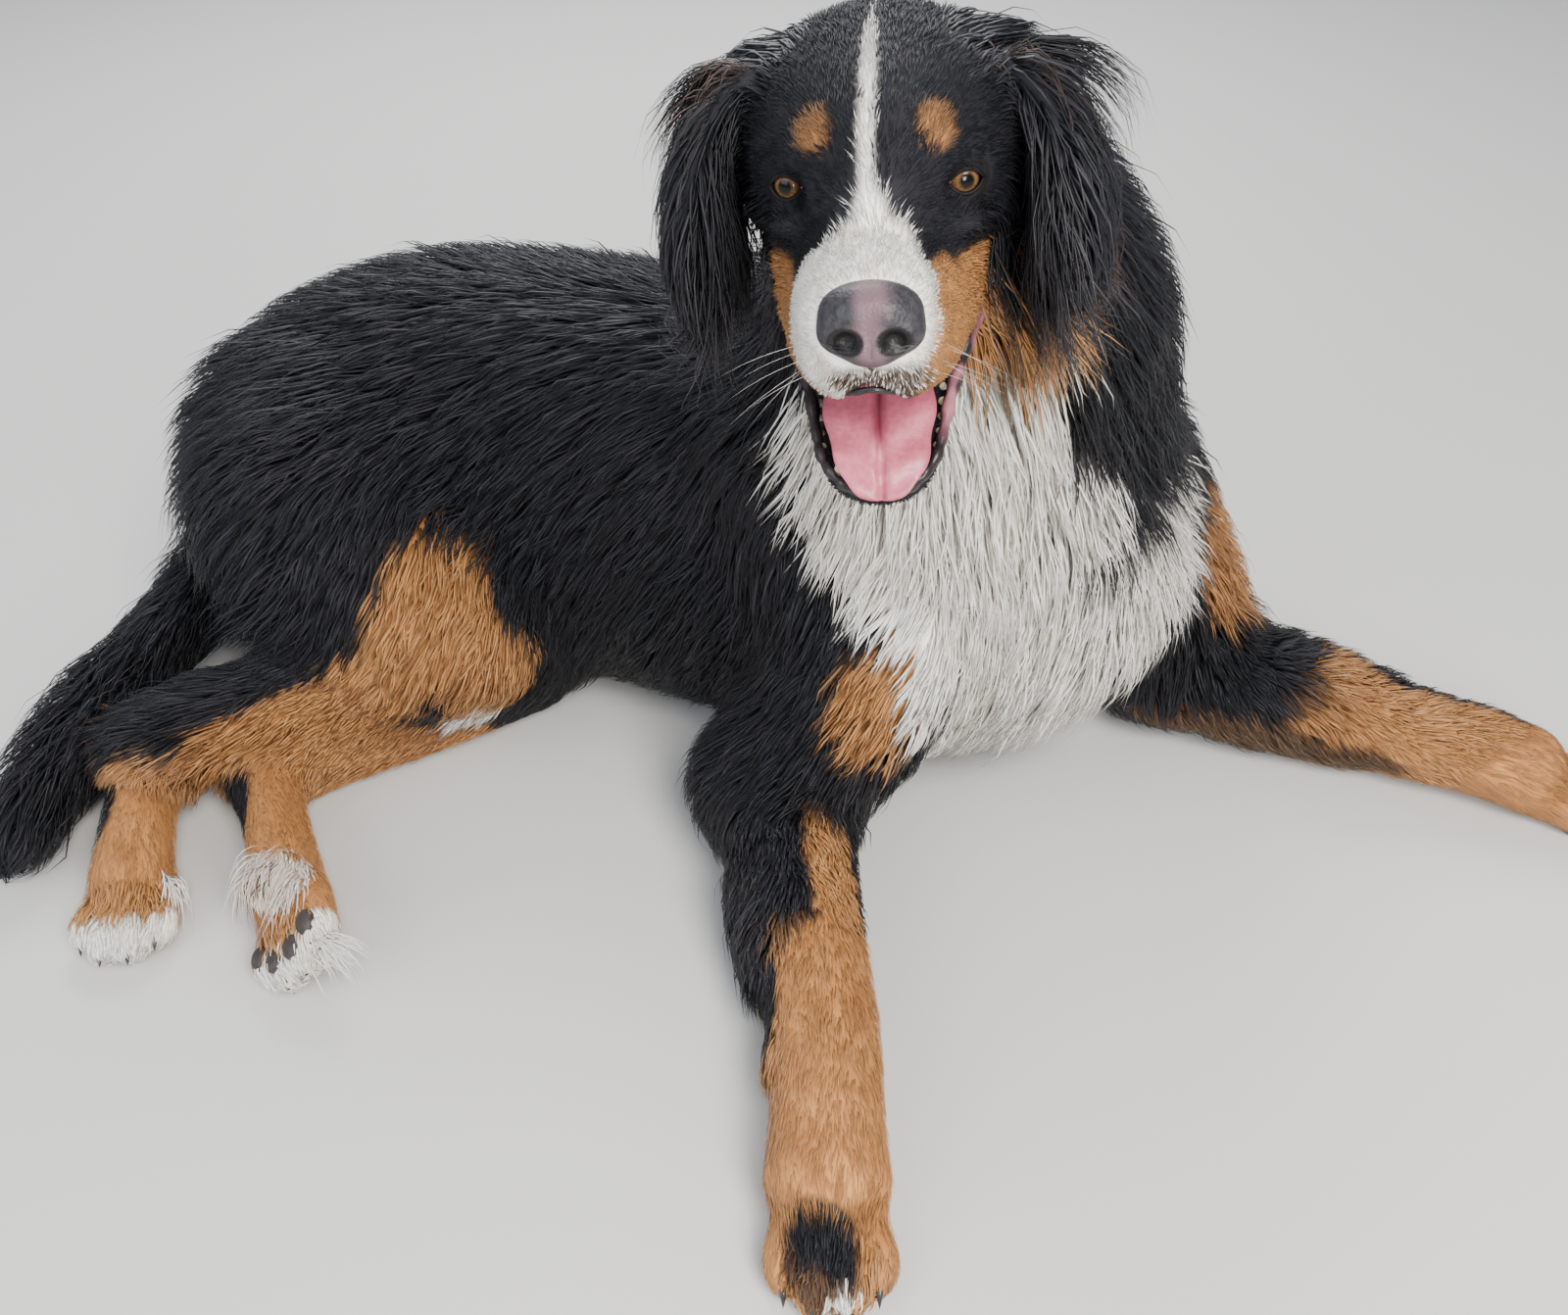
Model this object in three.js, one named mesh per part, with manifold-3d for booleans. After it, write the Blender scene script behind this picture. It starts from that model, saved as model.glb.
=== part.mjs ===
// A Bernese mountain dog, a grown male, lying on its chest with its head up and its mouth open.
// Millimetres. The trunk lies along Y with the chest towards -Y, the dog's right side is towards -X,
// and the floor is z = 0.
import * as THREE from "three";
import { mergeVertices } from "three/addons/utils/BufferGeometryUtils.js";
import Module from "manifold-3d";

const wasm = await Module();
wasm.setup();

// Driving sizes
const gap = 0.35; // between neighbouring pieces
const coreShare = 0.45; // how much of the coat's depth the solid core takes up
const eyeRadius = 12;
const eyeAhead = -6;
const eyeHigh = 1.5;
const halfEyeSpacing = 47;
const jawOpening = 29; // degrees
const headPitch = 6; // degrees, nose up
const headRoll = 4.2; // degrees, left side up

const sides = { right: -1, left: 1 };

// Colours of the coat and the bare parts
const black = 0x17161a;
const rust = 0x9a5427;
const white = 0xe9e4da;
const leather = 0x2b262b;
const pink = 0xd07a86;
const amber = 0x4a2a12;

const vec = (x, y, z) => new THREE.Vector3(x, y, z);
const up = vec(0, 0, 1);
const lerp = THREE.MathUtils.lerp;
const radians = THREE.MathUtils.degToRad;

// A repeatable draw between -1 and 1
let seed = 7;
function jitter() {
  seed = (seed * 16807) % 2147483647;
  return (seed / 2147483647) * 2 - 1;
}

// The head's own frame: a forwards, b to the dog's left, c upwards, from the point between the eyes
const betweenEyes = vec(-171, -141, 640);
const forwards = vec(-0.937, -0.349, 0)
  .normalize()
  .multiplyScalar(Math.cos(radians(headPitch)))
  .addScaledVector(up, Math.sin(radians(headPitch)));
const leftwards = vec(-forwards.y, forwards.x, 0).normalize().applyAxisAngle(forwards, radians(headRoll));
const crownwards = forwards.clone().cross(leftwards);

function inHead(a, b, c) {
  return betweenEyes
    .clone()
    .addScaledVector(forwards, a)
    .addScaledVector(leftwards, b)
    .addScaledVector(crownwards, c);
}

// The lower jaw turns about its joint by the opening of the mouth
const jawJoint = { a: -75, c: -55 };
function inJaw(a, b, c) {
  const turn = radians(jawOpening);
  const along = a - jawJoint.a;
  const high = c - jawJoint.c;
  return inHead(
    jawJoint.a + along * Math.cos(turn) + high * Math.sin(turn),
    b,
    jawJoint.c - along * Math.sin(turn) + high * Math.cos(turn),
  );
}

// The body plan. Each length of the body is a row of cross-sections: centre, half width, half height
// and depth of the coat. Lean is the direction in which the half height is measured.
function bodyLength(lean, blend, sections) {
  const centres = sections.map(([centre]) => centre);
  const sizes = sections.map(([, width, height, coat]) => vec(width, height, coat));
  return {
    lean,
    blend,
    count: sections.length - 1,
    centre: new THREE.CatmullRomCurve3(centres, false, "catmullrom", 0.5),
    size: new THREE.CatmullRomCurve3(sizes, false, "catmullrom", 0.5),
  };
}
const at = (x, y, z, width, height, coat) => [vec(x, y, z), width, height, coat];
const headAt = (a, b, c, width, height, coat = 4) => [inHead(a, b, c), width, height, coat];
const jawAt = (a, b, c, width, height, coat = 4) => [inJaw(a, b, c), width, height, coat];

const plan = {
  torso: bodyLength(up, 30, [
    at(100, -215, 235, 55, 70, 55),
    at(100, -180, 225, 105, 120, 50),
    at(100, -100, 215, 138, 165, 40),
    at(98, 20, 208, 152, 178, 30),
    at(95, 150, 205, 155, 180, 30),
    at(88, 280, 204, 148, 176, 30),
    at(75, 390, 198, 141, 166, 32),
    at(50, 475, 184, 122, 144, 34),
    at(28, 540, 162, 75, 95, 42),
  ]),
  keel: bodyLength(up, 30, [
    at(100, -150, 112, 70, 100, 12),
    at(98, 20, 110, 118, 112, 12),
    at(90, 220, 110, 122, 112, 12),
    at(70, 380, 104, 100, 106, 12),
    at(50, 450, 100, 70, 90, 12),
  ]),
  neck: bodyLength(vec(-0.9, -0.44, 0), 50, [
    at(115, -50, 270, 145, 140, 45),
    at(95, -105, 370, 134, 122, 55),
    at(45, -128, 470, 108, 105, 50),
    at(-25, -120, 560, 82, 90, 38),
    at(-60, -110, 610, 65, 70, 20),
  ]),
  shoulderRight: bodyLength(vec(-1, 0, 0), 40, [
    at(45, 0, 315, 50, 85, 20),
    at(5, -70, 265, 60, 98, 20),
    at(-30, -120, 212, 62, 88, 20),
  ]),
  armRight: bodyLength(vec(-1, 0, 0), 40, [
    at(-32, -124, 212, 62, 88, 20),
    at(-72, -88, 140, 63, 80, 25),
    at(-108, -46, 75, 50, 58, 30),
  ]),
  foreRight: bodyLength(up, 20, [
    at(-105, -40, 65, 45, 55, 25),
    at(-160, -82, 60, 44, 48, 18),
    at(-240, -138, 52, 38, 41, 12),
    at(-315, -187, 45, 38, 36, 8),
    at(-370, -215, 42, 38, 35, 6),
    at(-415, -236, 36, 43, 33, 5),
  ]),
  shoulderLeft: bodyLength(vec(1, 0, 0), 40, [
    at(165, -50, 310, 55, 90, 30),
    at(205, -130, 265, 65, 100, 32),
    at(225, -200, 225, 68, 96, 35),
  ]),
  armLeft: bodyLength(vec(1, 0, 0), 40, [
    at(224, -200, 228, 68, 96, 35),
    at(230, -265, 150, 62, 80, 35),
    at(215, -312, 85, 50, 58, 35),
  ]),
  foreLeft: bodyLength(up, 20, [
    at(205, -290, 70, 45, 55, 30),
    at(210, -350, 65, 43, 47, 22),
    at(218, -440, 55, 38, 41, 14),
    at(226, -530, 45, 38, 36, 8),
    at(232, -590, 42, 38, 35, 6),
    at(237, -640, 36, 43, 33, 5),
  ]),
  thighRight: bodyLength(vec(-1, 0, 0), 50, [
    at(0, 485, 200, 105, 125, 30),
    at(-50, 400, 190, 100, 140, 30),
    at(-90, 330, 160, 82, 110, 25),
    at(-120, 275, 130, 60, 75, 20),
  ]),
  shankRight: bodyLength(up, 20, [
    at(-115, 275, 130, 55, 65, 20),
    at(-180, 350, 100, 50, 55, 15),
    at(-260, 430, 70, 32, 38, 12),
    at(-320, 485, 55, 25, 34, 10),
  ]),
  hockRight: bodyLength(up, 15, [
    at(-320, 485, 52, 25, 34, 10),
    at(-360, 455, 45, 24, 30, 8),
    at(-418, 414, 32, 30, 27, 6),
  ]),
  thighLeft: bodyLength(up, 30, [
    at(60, 430, 110, 100, 100, 10),
    at(20, 350, 90, 90, 85, 10),
    at(-40, 280, 60, 60, 55, 10),
  ]),
  shankLeft: bodyLength(up, 20, [
    at(-45, 262, 50, 50, 45, 10),
    at(-120, 300, 45, 42, 40, 10),
    at(-210, 350, 40, 30, 35, 8),
    at(-280, 390, 35, 26, 30, 8),
  ]),
  hockLeft: bodyLength(up, 15, [
    at(-280, 390, 35, 26, 30, 8),
    at(-320, 340, 35, 24, 28, 6),
    at(-385, 266, 35, 28, 26, 6),
  ]),
  tail: bodyLength(up, 20, [
    at(25, 550, 165, 35, 40, 20),
    at(-30, 590, 115, 30, 34, 30),
    at(-110, 600, 68, 22, 22, 44),
    at(-210, 592, 58, 18, 18, 46),
    at(-310, 570, 52, 15, 15, 44),
    at(-390, 547, 46, 12, 12, 40),
    at(-440, 527, 38, 8, 8, 30),
  ]),
  skull: bodyLength(crownwards, 20, [
    headAt(-135, 0, 5, 55, 50, 20),
    headAt(-105, 0, 10, 74, 62, 15),
    headAt(-60, 0, 8, 80, 66, 8),
    headAt(-22, 0, 2, 59, 58),
    headAt(8, 0, -8, 39, 46),
  ]),
  muzzle: bodyLength(crownwards, 12, [
    headAt(-20, 0, -38, 58, 44),
    headAt(20, 0, -44, 46, 36),
    headAt(58, 0, -46, 42, 34),
    headAt(87, 0, -47, 38, 31),
  ]),
  flewRight: bodyLength(crownwards, 12, [
    headAt(-10, -38, -62, 18, 32),
    headAt(40, -31, -70, 18, 28),
    headAt(82, -19, -68, 18, 22),
  ]),
  flewLeft: bodyLength(crownwards, 12, [
    headAt(-10, 38, -62, 18, 32),
    headAt(40, 31, -70, 18, 28),
    headAt(82, 19, -68, 18, 22),
  ]),
  jaw: bodyLength(crownwards, 10, [
    jawAt(-70, 0, -62, 60, 30, 10),
    jawAt(-25, 0, -86, 50, 24, 8),
    jawAt(30, 0, -91, 39, 19),
    jawAt(68, 0, -91, 34, 17),
    jawAt(82, 0, -90, 27, 14),
  ]),
  tongue: bodyLength(crownwards, 5, [
    jawAt(-45, 0, -74, 26, 9, 0),
    jawAt(10, 0, -68, 29, 11, 0),
    jawAt(50, 0, -70, 31, 9, 0),
    jawAt(80, 0, -77, 26, 7, 0),
  ]),
  earRight: bodyLength(leftwards, 10, [
    headAt(-75, -75, 45, 30, 6, 15),
    headAt(-70, -98, 20, 46, 6, 20),
    headAt(-60, -110, -30, 50, 6, 22),
    headAt(-55, -108, -75, 30, 5, 22),
  ]),
  earLeft: bodyLength(leftwards, 10, [
    headAt(-75, 75, 45, 30, 6, 15),
    headAt(-70, 98, 20, 46, 6, 20),
    headAt(-60, 110, -30, 50, 6, 22),
    headAt(-55, 108, -75, 30, 5, 22),
  ]),
};

// One cross-section of a length, at share t of it, with the coat's depth times layer added
function section(length, t, layer) {
  const centre = length.centre.getPoint(t);
  const size = length.size.getPoint(t);
  const along = length.centre.getTangent(t);
  const side = along.clone().cross(length.lean).normalize();
  return {
    centre,
    along,
    side,
    high: side.clone().cross(along),
    width: size.x + layer * size.z,
    height: size.y + layer * size.z,
    coat: size.z,
  };
}

// How far a point is from the surface of a set of lengths, less than zero inside
const fieldSteps = 4;
function sampled(names, layer, widestBlend = 50) {
  return names.map((name) => {
    const length = plan[name];
    const steps = length.count * fieldSteps;
    const rings = Array.from({ length: steps + 1 }, (_, i) => section(length, i / steps, layer));
    return { blend: Math.min(length.blend, widestBlend), rings };
  });
}
function distanceTo(lengths, point) {
  const offset = vec(0, 0, 0);
  const axis = vec(0, 0, 0);
  let nearest = 1000;
  for (const { blend, rings } of lengths) {
    let own = 1000;
    for (let i = 0; i + 1 < rings.length; i++) {
      const from = rings[i];
      const to = rings[i + 1];
      axis.subVectors(to.centre, from.centre);
      offset.subVectors(point, from.centre);
      const share = THREE.MathUtils.clamp(offset.dot(axis) / axis.lengthSq(), 0, 1);
      offset.addScaledVector(axis, -share);
      const width = lerp(from.width, to.width, share);
      const height = lerp(from.height, to.height, share);
      const end = Math.min(width, height);
      const across = offset.dot(from.side);
      const above = offset.dot(from.high);
      const beyond = offset.dot(from.along);
      const ratio = Math.hypot(across / width, above / height, beyond / end);
      const slope = Math.hypot(across / width ** 2, above / height ** 2, beyond / end ** 2) + 1e-9;
      own = Math.min(own, (ratio * (ratio - 1)) / slope);
    }
    const overlap = Math.max(blend - Math.abs(nearest - own), 0) / blend;
    nearest = Math.min(nearest, own) - overlap * overlap * blend * 0.25;
  }
  return nearest;
}

// A closed skin over rings of points; each end is closed on its pole
function skinOver(rings, firstPole, lastPole) {
  const sides = rings[0].length;
  const places = [firstPole, ...rings.flat(), lastPole];
  const faces = [];
  const vertex = (ring, i) => 1 + ring * sides + (i % sides);
  for (let i = 0; i < sides; i++) {
    faces.push(0, vertex(0, i), vertex(0, i + 1));
    faces.push(places.length - 1, vertex(rings.length - 1, i + 1), vertex(rings.length - 1, i));
    for (let ring = 0; ring + 1 < rings.length; ring++) {
      faces.push(vertex(ring, i), vertex(ring + 1, i), vertex(ring + 1, i + 1));
      faces.push(vertex(ring, i), vertex(ring + 1, i + 1), vertex(ring, i + 1));
    }
  }
  const geometry = new THREE.BufferGeometry().setFromPoints(places);
  geometry.setIndex(faces);
  return geometry;
}

// The solid of a closed geometry
function solidOf(geometry) {
  const bare = geometry.clone();
  bare.deleteAttribute("normal");
  bare.deleteAttribute("uv");
  const merged = mergeVertices(bare, 1e-3);
  const triVerts = new Uint32Array(merged.index.array);
  let solid = new wasm.Manifold(
    new wasm.Mesh({ numProp: 3, vertProperties: merged.attributes.position.array, triVerts }),
  );
  if (solid.volume() < 0) {
    for (let i = 0; i < triVerts.length; i += 3) {
      [triVerts[i], triVerts[i + 1]] = [triVerts[i + 1], triVerts[i]];
    }
    solid = new wasm.Manifold(
      new wasm.Mesh({ numProp: 3, vertProperties: merged.attributes.position.array, triVerts }),
    );
  }
  return solid;
}

// A length as a solid. Each end is either round or cut flat where the next length meets it.
function loft(name, { layer = coreShare, from = 0, to = 1, rings = 8, sides = 16, round = [1, 1] } = {}) {
  const length = plan[name];
  return (grow) => {
    const list = [];
    const ring = (s, shrink, shift) =>
      Array.from({ length: sides }, (_, i) => {
        const turn = (2 * Math.PI * i) / sides;
        return s.centre
          .clone()
          .addScaledVector(s.along, shift)
          .addScaledVector(s.side, (s.width * shrink + grow) * Math.cos(turn))
          .addScaledVector(s.high, (s.height * shrink + grow) * Math.sin(turn));
      });
    const first = section(length, from, layer);
    const last = section(length, to, layer);
    const reach = (s, share) => share * Math.min(s.width, s.height) + grow;
    if (round[0]) list.push(ring(first, 0.55, -0.83 * reach(first, round[0])));
    for (let i = 0; i <= rings; i++) {
      const shift = i === 0 && !round[0] ? gap / 2 - grow : i === rings && !round[1] ? grow - gap / 2 : 0;
      list.push(ring(section(length, lerp(from, to, i / rings), layer), 1, shift));
    }
    if (round[1]) list.push(ring(last, 0.55, 0.83 * reach(last, round[1])));
    const pole = (s, share, sign) =>
      s.centre.clone().addScaledVector(s.along, sign * (share ? reach(s, share) : grow - gap / 2));
    return solidOf(skinOver(list, pole(first, round[0], -1), pole(last, round[1], 1)));
  };
}

// A sphere stretched along three directions
function ball(centre, sizes, axes, segments = 8) {
  return (grow) => {
    const geometry = new THREE.SphereGeometry(1, segments, Math.round(segments * 0.6));
    const scaled = axes.map((axis, i) => axis.clone().multiplyScalar(sizes[i] + grow));
    const matrix = new THREE.Matrix4().makeBasis(...scaled);
    return solidOf(geometry.applyMatrix4(matrix.setPosition(centre)));
  };
}

const join = (solids) => wasm.Manifold.union(solids);
function largest(solid) {
  return solid.decompose().reduce((best, body) => (body.volume() > best.volume() ? body : best));
}

// A block that takes away all below the floor
const floorBlock = solidOf(new THREE.BoxGeometry(3000, 3000, 400).translate(0, 0, -200));

// Directions that the pieces of the head are stretched along
const headAxes = [leftwards, crownwards, forwards];

// The head: the lengths of the skull and muzzle drawn together in one skin, with sockets, lids,
// palate and the line of the lips
const headLengths = ["skull", "muzzle", "flewRight", "flewLeft"];
const browTurn = 0.35;
function headSkin(grow) {
  const bare = sampled(headLengths, coreShare);
  const ringCount = 21;
  const sides = 18;
  const back = -172;
  const front = 119;
  const rings = [];
  for (let i = 1; i < ringCount; i++) {
    const a = lerp(back, front, (1 - Math.cos((Math.PI * i) / ringCount)) / 2);
    const c = lerp(0, -52, THREE.MathUtils.smoothstep(a, -80, 30));
    rings.push(
      Array.from({ length: sides }, (_, k) => {
        const turn = (2 * Math.PI * k) / sides;
        const from = inHead(a, 0, c);
        const way = leftwards
          .clone()
          .multiplyScalar(Math.cos(turn))
          .addScaledVector(crownwards, Math.sin(turn));
        return from.clone().addScaledVector(way, Math.max(castOut(bare, from, way), 2) + grow);
      }),
    );
  }
  return solidOf(skinOver(rings, inHead(back - grow, 0, 0), inHead(front + grow, 0, -52)));
}
// The hollows of the face in which the eyes sit
function headWithOrbits(grow) {
  const orbits = Object.values(sides).map((side) => {
    const place = eyeCentre(side).addScaledVector(gazeOf(side), 23);
    return ball(place, [16, 13, 15], headAxes, 8)(-grow);
  });
  return orbits.reduce((skin, orbit) => skin.subtract(orbit), headSkin(grow));
}
// The way from an inner point out to the surface
function castOut(lengths, from, way) {
  const inside = (reach) => distanceTo(lengths, from.clone().addScaledVector(way, reach)) < 0;
  let near = 0;
  let far = 6;
  while (inside(far) && far < 150) {
    near = far;
    far += 6;
  }
  for (let i = 0; i < 7; i++) {
    const middle = (near + far) / 2;
    if (inside(middle)) near = middle;
    else far = middle;
  }
  return near;
}

function eyeCentre(side) {
  return inHead(eyeAhead, side * halfEyeSpacing, eyeHigh);
}
function gazeOf(side) {
  return forwards.clone().addScaledVector(leftwards, side * browTurn).normalize();
}
// The opening between the lids, as a lens between two arcs, pushed along the gaze
function lidOpening(side) {
  const halfLength = 9.6;
  const shape = new THREE.Shape();
  shape.moveTo(-halfLength, 0);
  shape.quadraticCurveTo(0, -11, halfLength, 0);
  shape.quadraticCurveTo(0, 13, -halfLength, 0);
  const geometry = new THREE.ExtrudeGeometry(shape, { depth: 40, bevelEnabled: false, curveSegments: 5 });
  const gaze = gazeOf(side);
  const across = crownwards.clone().cross(gaze).normalize();
  const matrix = new THREE.Matrix4().makeBasis(across, gaze.clone().cross(across), gaze);
  return solidOf(geometry.applyMatrix4(matrix.setPosition(eyeCentre(side))));
}

// A paw: its middle, four toes each with a claw, and the pads where the sole shows
const toes = [
  { across: -32, ahead: 20, size: [15, 17, 26] },
  { across: -12, ahead: 34, size: [15, 18, 28] },
  { across: 12, ahead: 34, size: [15, 18, 28] },
  { across: 32, ahead: 20, size: [15, 17, 26] },
];
const palmSize = [40, 24, 42];
const toePadSize = [9, 6, 11];
const heelPadSize = [20, 8, 16];
const clawReach = 16;
function paw({ centre, toeWay, back, scale, pads = false }) {
  const ahead = toeWay.clone().normalize();
  const across = ahead.clone().cross(back).normalize();
  const above = across.clone().cross(ahead);
  const axes = [across, above, ahead];
  const place = (x, y, z) =>
    centre
      .clone()
      .addScaledVector(across, x * scale)
      .addScaledVector(above, y * scale)
      .addScaledVector(ahead, z * scale);
  const sized = (sizes) => sizes.map((size) => size * scale);
  const pieces = [ball(place(0, 0, -8), sized(palmSize), axes, 7)];
  for (const toe of toes) {
    pieces.push(ball(place(toe.across, -3, toe.ahead), sized(toe.size), axes, 6));
    pieces.push(claw(place(toe.across, 0, toe.ahead + 20), axes, clawReach * scale));
    if (pads) pieces.push(ball(place(toe.across * 0.95, -17, toe.ahead + 3), sized(toePadSize), axes, 5));
  }
  if (pads) pieces.push(ball(place(0, -19, -12), sized(heelPadSize), axes, 6));
  return pieces;
}
// A claw or tooth: a cone from its root that dips at the tip
const clawThickness = 4;
function claw(root, axes, reach, dip = 0.55, thickness = clawThickness) {
  return (grow) => {
    const thick = thickness + grow;
    const ring = Array.from({ length: 5 }, (_, i) => {
      const turn = (2 * Math.PI * i) / 5;
      return root
        .clone()
        .addScaledVector(axes[0], thick * 0.8 * Math.cos(turn))
        .addScaledVector(axes[1], thick * Math.sin(turn));
    });
    const tip = root.clone().addScaledVector(axes[2], reach + grow).addScaledVector(axes[1], -reach * dip);
    return solidOf(skinOver([ring], root.clone().addScaledVector(axes[2], -2 - grow), tip));
  };
}
const paws = {
  front_paw_right: { centre: vec(-440, -250, 21), toeWay: vec(-0.9, -0.43, 0), back: up, scale: 1 },
  front_paw_left: { centre: vec(241, -668, 21), toeWay: vec(0.08, -1, 0), back: up, scale: 1 },
  hind_paw_right: { centre: vec(-437, 400, 20), toeWay: vec(-0.85, -0.52, 0), back: up, scale: 0.92 },
  hind_paw_left: {
    centre: vec(-398, 250, 34),
    toeWay: vec(-0.72, -0.66, -0.1),
    back: vec(0.33, -0.5, -0.7),
    scale: 0.92,
    pads: true,
  },
};

// The surface that every lock grows from, with the lengths of the body meeting in tight creases
const creaseBlend = 8;
const fleshNames = Object.keys(plan).filter((name) => name !== "tongue");
const flesh = sampled(fleshNames, coreShare, creaseBlend);
function outwards(point) {
  const step = 3;
  const slope = (axis) =>
    distanceTo(flesh, point.clone().addScaledVector(axis, step)) -
    distanceTo(flesh, point.clone().addScaledVector(axis, -step));
  return vec(slope(vec(1, 0, 0)), slope(vec(0, 1, 0)), slope(up)).normalize();
}
// Moves a point to a height over the flesh, and never below the floor
const lockFloor = 7;
function lift(point, height) {
  for (let i = 0; i < 3; i++) point.addScaledVector(outwards(point), height - distanceTo(flesh, point));
  point.z = Math.max(point.z, lockFloor);
  return point;
}

// A flat lock that starts under the skin, bends along the lie of the coat and tapers to its tip.
// At each step it has a share of its full height over the skin, of its width and of its thickness.
const lockSteps = [
  { rise: 0.3, width: 0.35, thickness: 1 },
  { rise: 0.75, width: 1, thickness: 0.9 },
  { rise: 1, width: 0.75, thickness: 0.7 },
];
// How much further its sharp edges and ends move out where a clear space is left round it
const edgeSlant = 2.2;
const endSlant = 10;
const mostTurn = 0.7; // cosine of the sharpest twist from one step to the next
const foldClearance = 1; // least room between one step and the next
const narrowing = 0.6; // share of the width that a lock keeps where it would fold
function lock({ root, way, height }, { reach, halfWidth, halfThickness, wave, sunk }) {
  const places = [lift(root.clone(), -sunk)];
  const stepReach = reach / lockSteps.length;
  const bend = jitter() * Math.min(wave, (0.25 * stepReach) / halfWidth);
  const heading = way.clone();
  lockSteps.forEach((step, i) => {
    const normal = outwards(places[i]);
    heading.addScaledVector(normal, -heading.dot(normal)).normalize();
    heading.applyAxisAngle(normal, i === 1 ? -2 * bend : bend);
    const next = places[i].clone().addScaledVector(heading, stepReach);
    places.push(lift(next, height * step.rise));
  });
  // One way out for the whole lock keeps it from twisting
  const out = places.reduce((sum, place) => sum.add(outwards(place)), vec(0, 0, 0)).normalize();
  const frames = lockSteps.map((step, i) => {
    const along = places[i + 1].clone().sub(places[i]).normalize();
    const side = along.clone().cross(out).normalize();
    return { step, place: places[i], along, side, high: side.clone().cross(along) };
  });
  const tip = places[lockSteps.length];
  const ringsAt = (grow) =>
    frames.map(({ step, place, side, high }) => {
      const thickness = halfThickness * step.thickness;
      const width = halfWidth * step.width * (1 + (edgeSlant * grow) / thickness);
      const corner = (across, above) =>
        place.clone().addScaledVector(side, across).addScaledVector(high, above);
      const under = -thickness / 2 - 1.5 * grow;
      return [corner(width, under), corner(0, thickness + 1.5 * grow), corner(-width, under)];
    });
  // One that would fold over itself in a crease doesn't grow there
  const grown = ringsAt(gap);
  const isAhead = (corner, { place, along }) => corner.clone().sub(place).dot(along) > foldClearance;
  const isBehind = (corner, { place, along }) => corner.clone().sub(place).dot(along) < -foldClearance;
  const isSmooth = grown.slice(1).every((ring, i) => {
    const [before, after] = [frames[i], frames[i + 1]];
    const isClear = ring.every((c) => isAhead(c, before)) && grown[i].every((c) => isBehind(c, after));
    return isClear && after.side.dot(before.side) > mostTurn;
  });
  if (!isSmooth) return null;
  return (grow) => {
    const rings = ringsAt(grow);
    const middles = rings.map((ring) => ring[0].clone().add(ring[1]).add(ring[2]).divideScalar(3));
    const last = rings.length - 1;
    const start = places[0].clone().addScaledVector(frames[0].along, -1 - endSlant * grow);
    const end = tip.clone().addScaledVector(frames[last].along, endSlant * grow);
    const ends = [start, ...middles.slice(1), end];
    return join(rings.map((ring, i) => solidOf(skinOver(rings.slice(i, i + 2), ends[i], ends[i + 1]))));
  };
}

// A lock on each of a list of roots. It covers a share of the spread between neighbours and laps
// over the next row.
const sizeSpread = 0.12;
function locks(roots, { cover = 0.72, lap = 1.5, halfThickness = 4, wave = 0.3, sunk = 10 } = {}) {
  return roots.flatMap((spot) => {
    const size = 1 + jitter() * sizeSpread;
    const reach = lap * spot.stride * size;
    const halfWidth = (cover * spot.spread * size) / 2;
    const height = spot.depth - halfThickness / 2;
    const grownTo = (share) =>
      lock({ ...spot, height }, { reach, halfWidth: halfWidth * share, halfThickness, wave, sunk });
    const piece = grownTo(1) ?? grownTo(narrowing);
    return piece ? [piece] : [];
  });
}
// A lock roots only clear of the floor and of the lengths that cover the skin there
const rootFloor = 16;
const rootClearance = 4;
function isBare(root, covers) {
  return root.z > rootFloor && (covers.length === 0 || distanceTo(covers, root) > rootClearance);
}
// Rows and columns of places, staggered and a little uneven, each as two shares of the whole
function staggered(rows, around) {
  return Array.from({ length: rows * around }, (_, i) => {
    const row = Math.floor(i / around);
    const stagger = row % 2 ? 0.25 : -0.25;
    return [(row + 0.5 + jitter() * 0.15) / rows, ((i % around) + 0.5 + stagger + jitter() * 0.1) / around];
  });
}
// Roots in rows over part of a length. Lie gives the way of the coat from the section that it is on.
function rowsOver(name, { from = 0, to = 1, rows, around, arc = [0, 360], under = [], lie }) {
  const length = plan[name];
  const covers = sampled(under, coreShare, creaseBlend);
  const stride = (length.centre.getLength() * (to - from)) / rows;
  const turnShare = (arc[1] - arc[0]) / 360 / around;
  return staggered(rows, around).flatMap(([along, across]) => {
    const s = section(length, lerp(from, to, along), coreShare);
    const turn = radians(lerp(arc[0], arc[1], across));
    const root = s.centre
      .clone()
      .addScaledVector(s.side, s.width * Math.cos(turn))
      .addScaledVector(s.high, s.height * Math.sin(turn));
    const spread = 2 * Math.PI * Math.hypot(s.width, s.height) * Math.SQRT1_2 * turnShare;
    const depth = (1 - coreShare) * s.coat;
    return isBare(root, covers) ? [{ root, way: lie(s), depth, stride, spread }] : [];
  });
}
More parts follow.
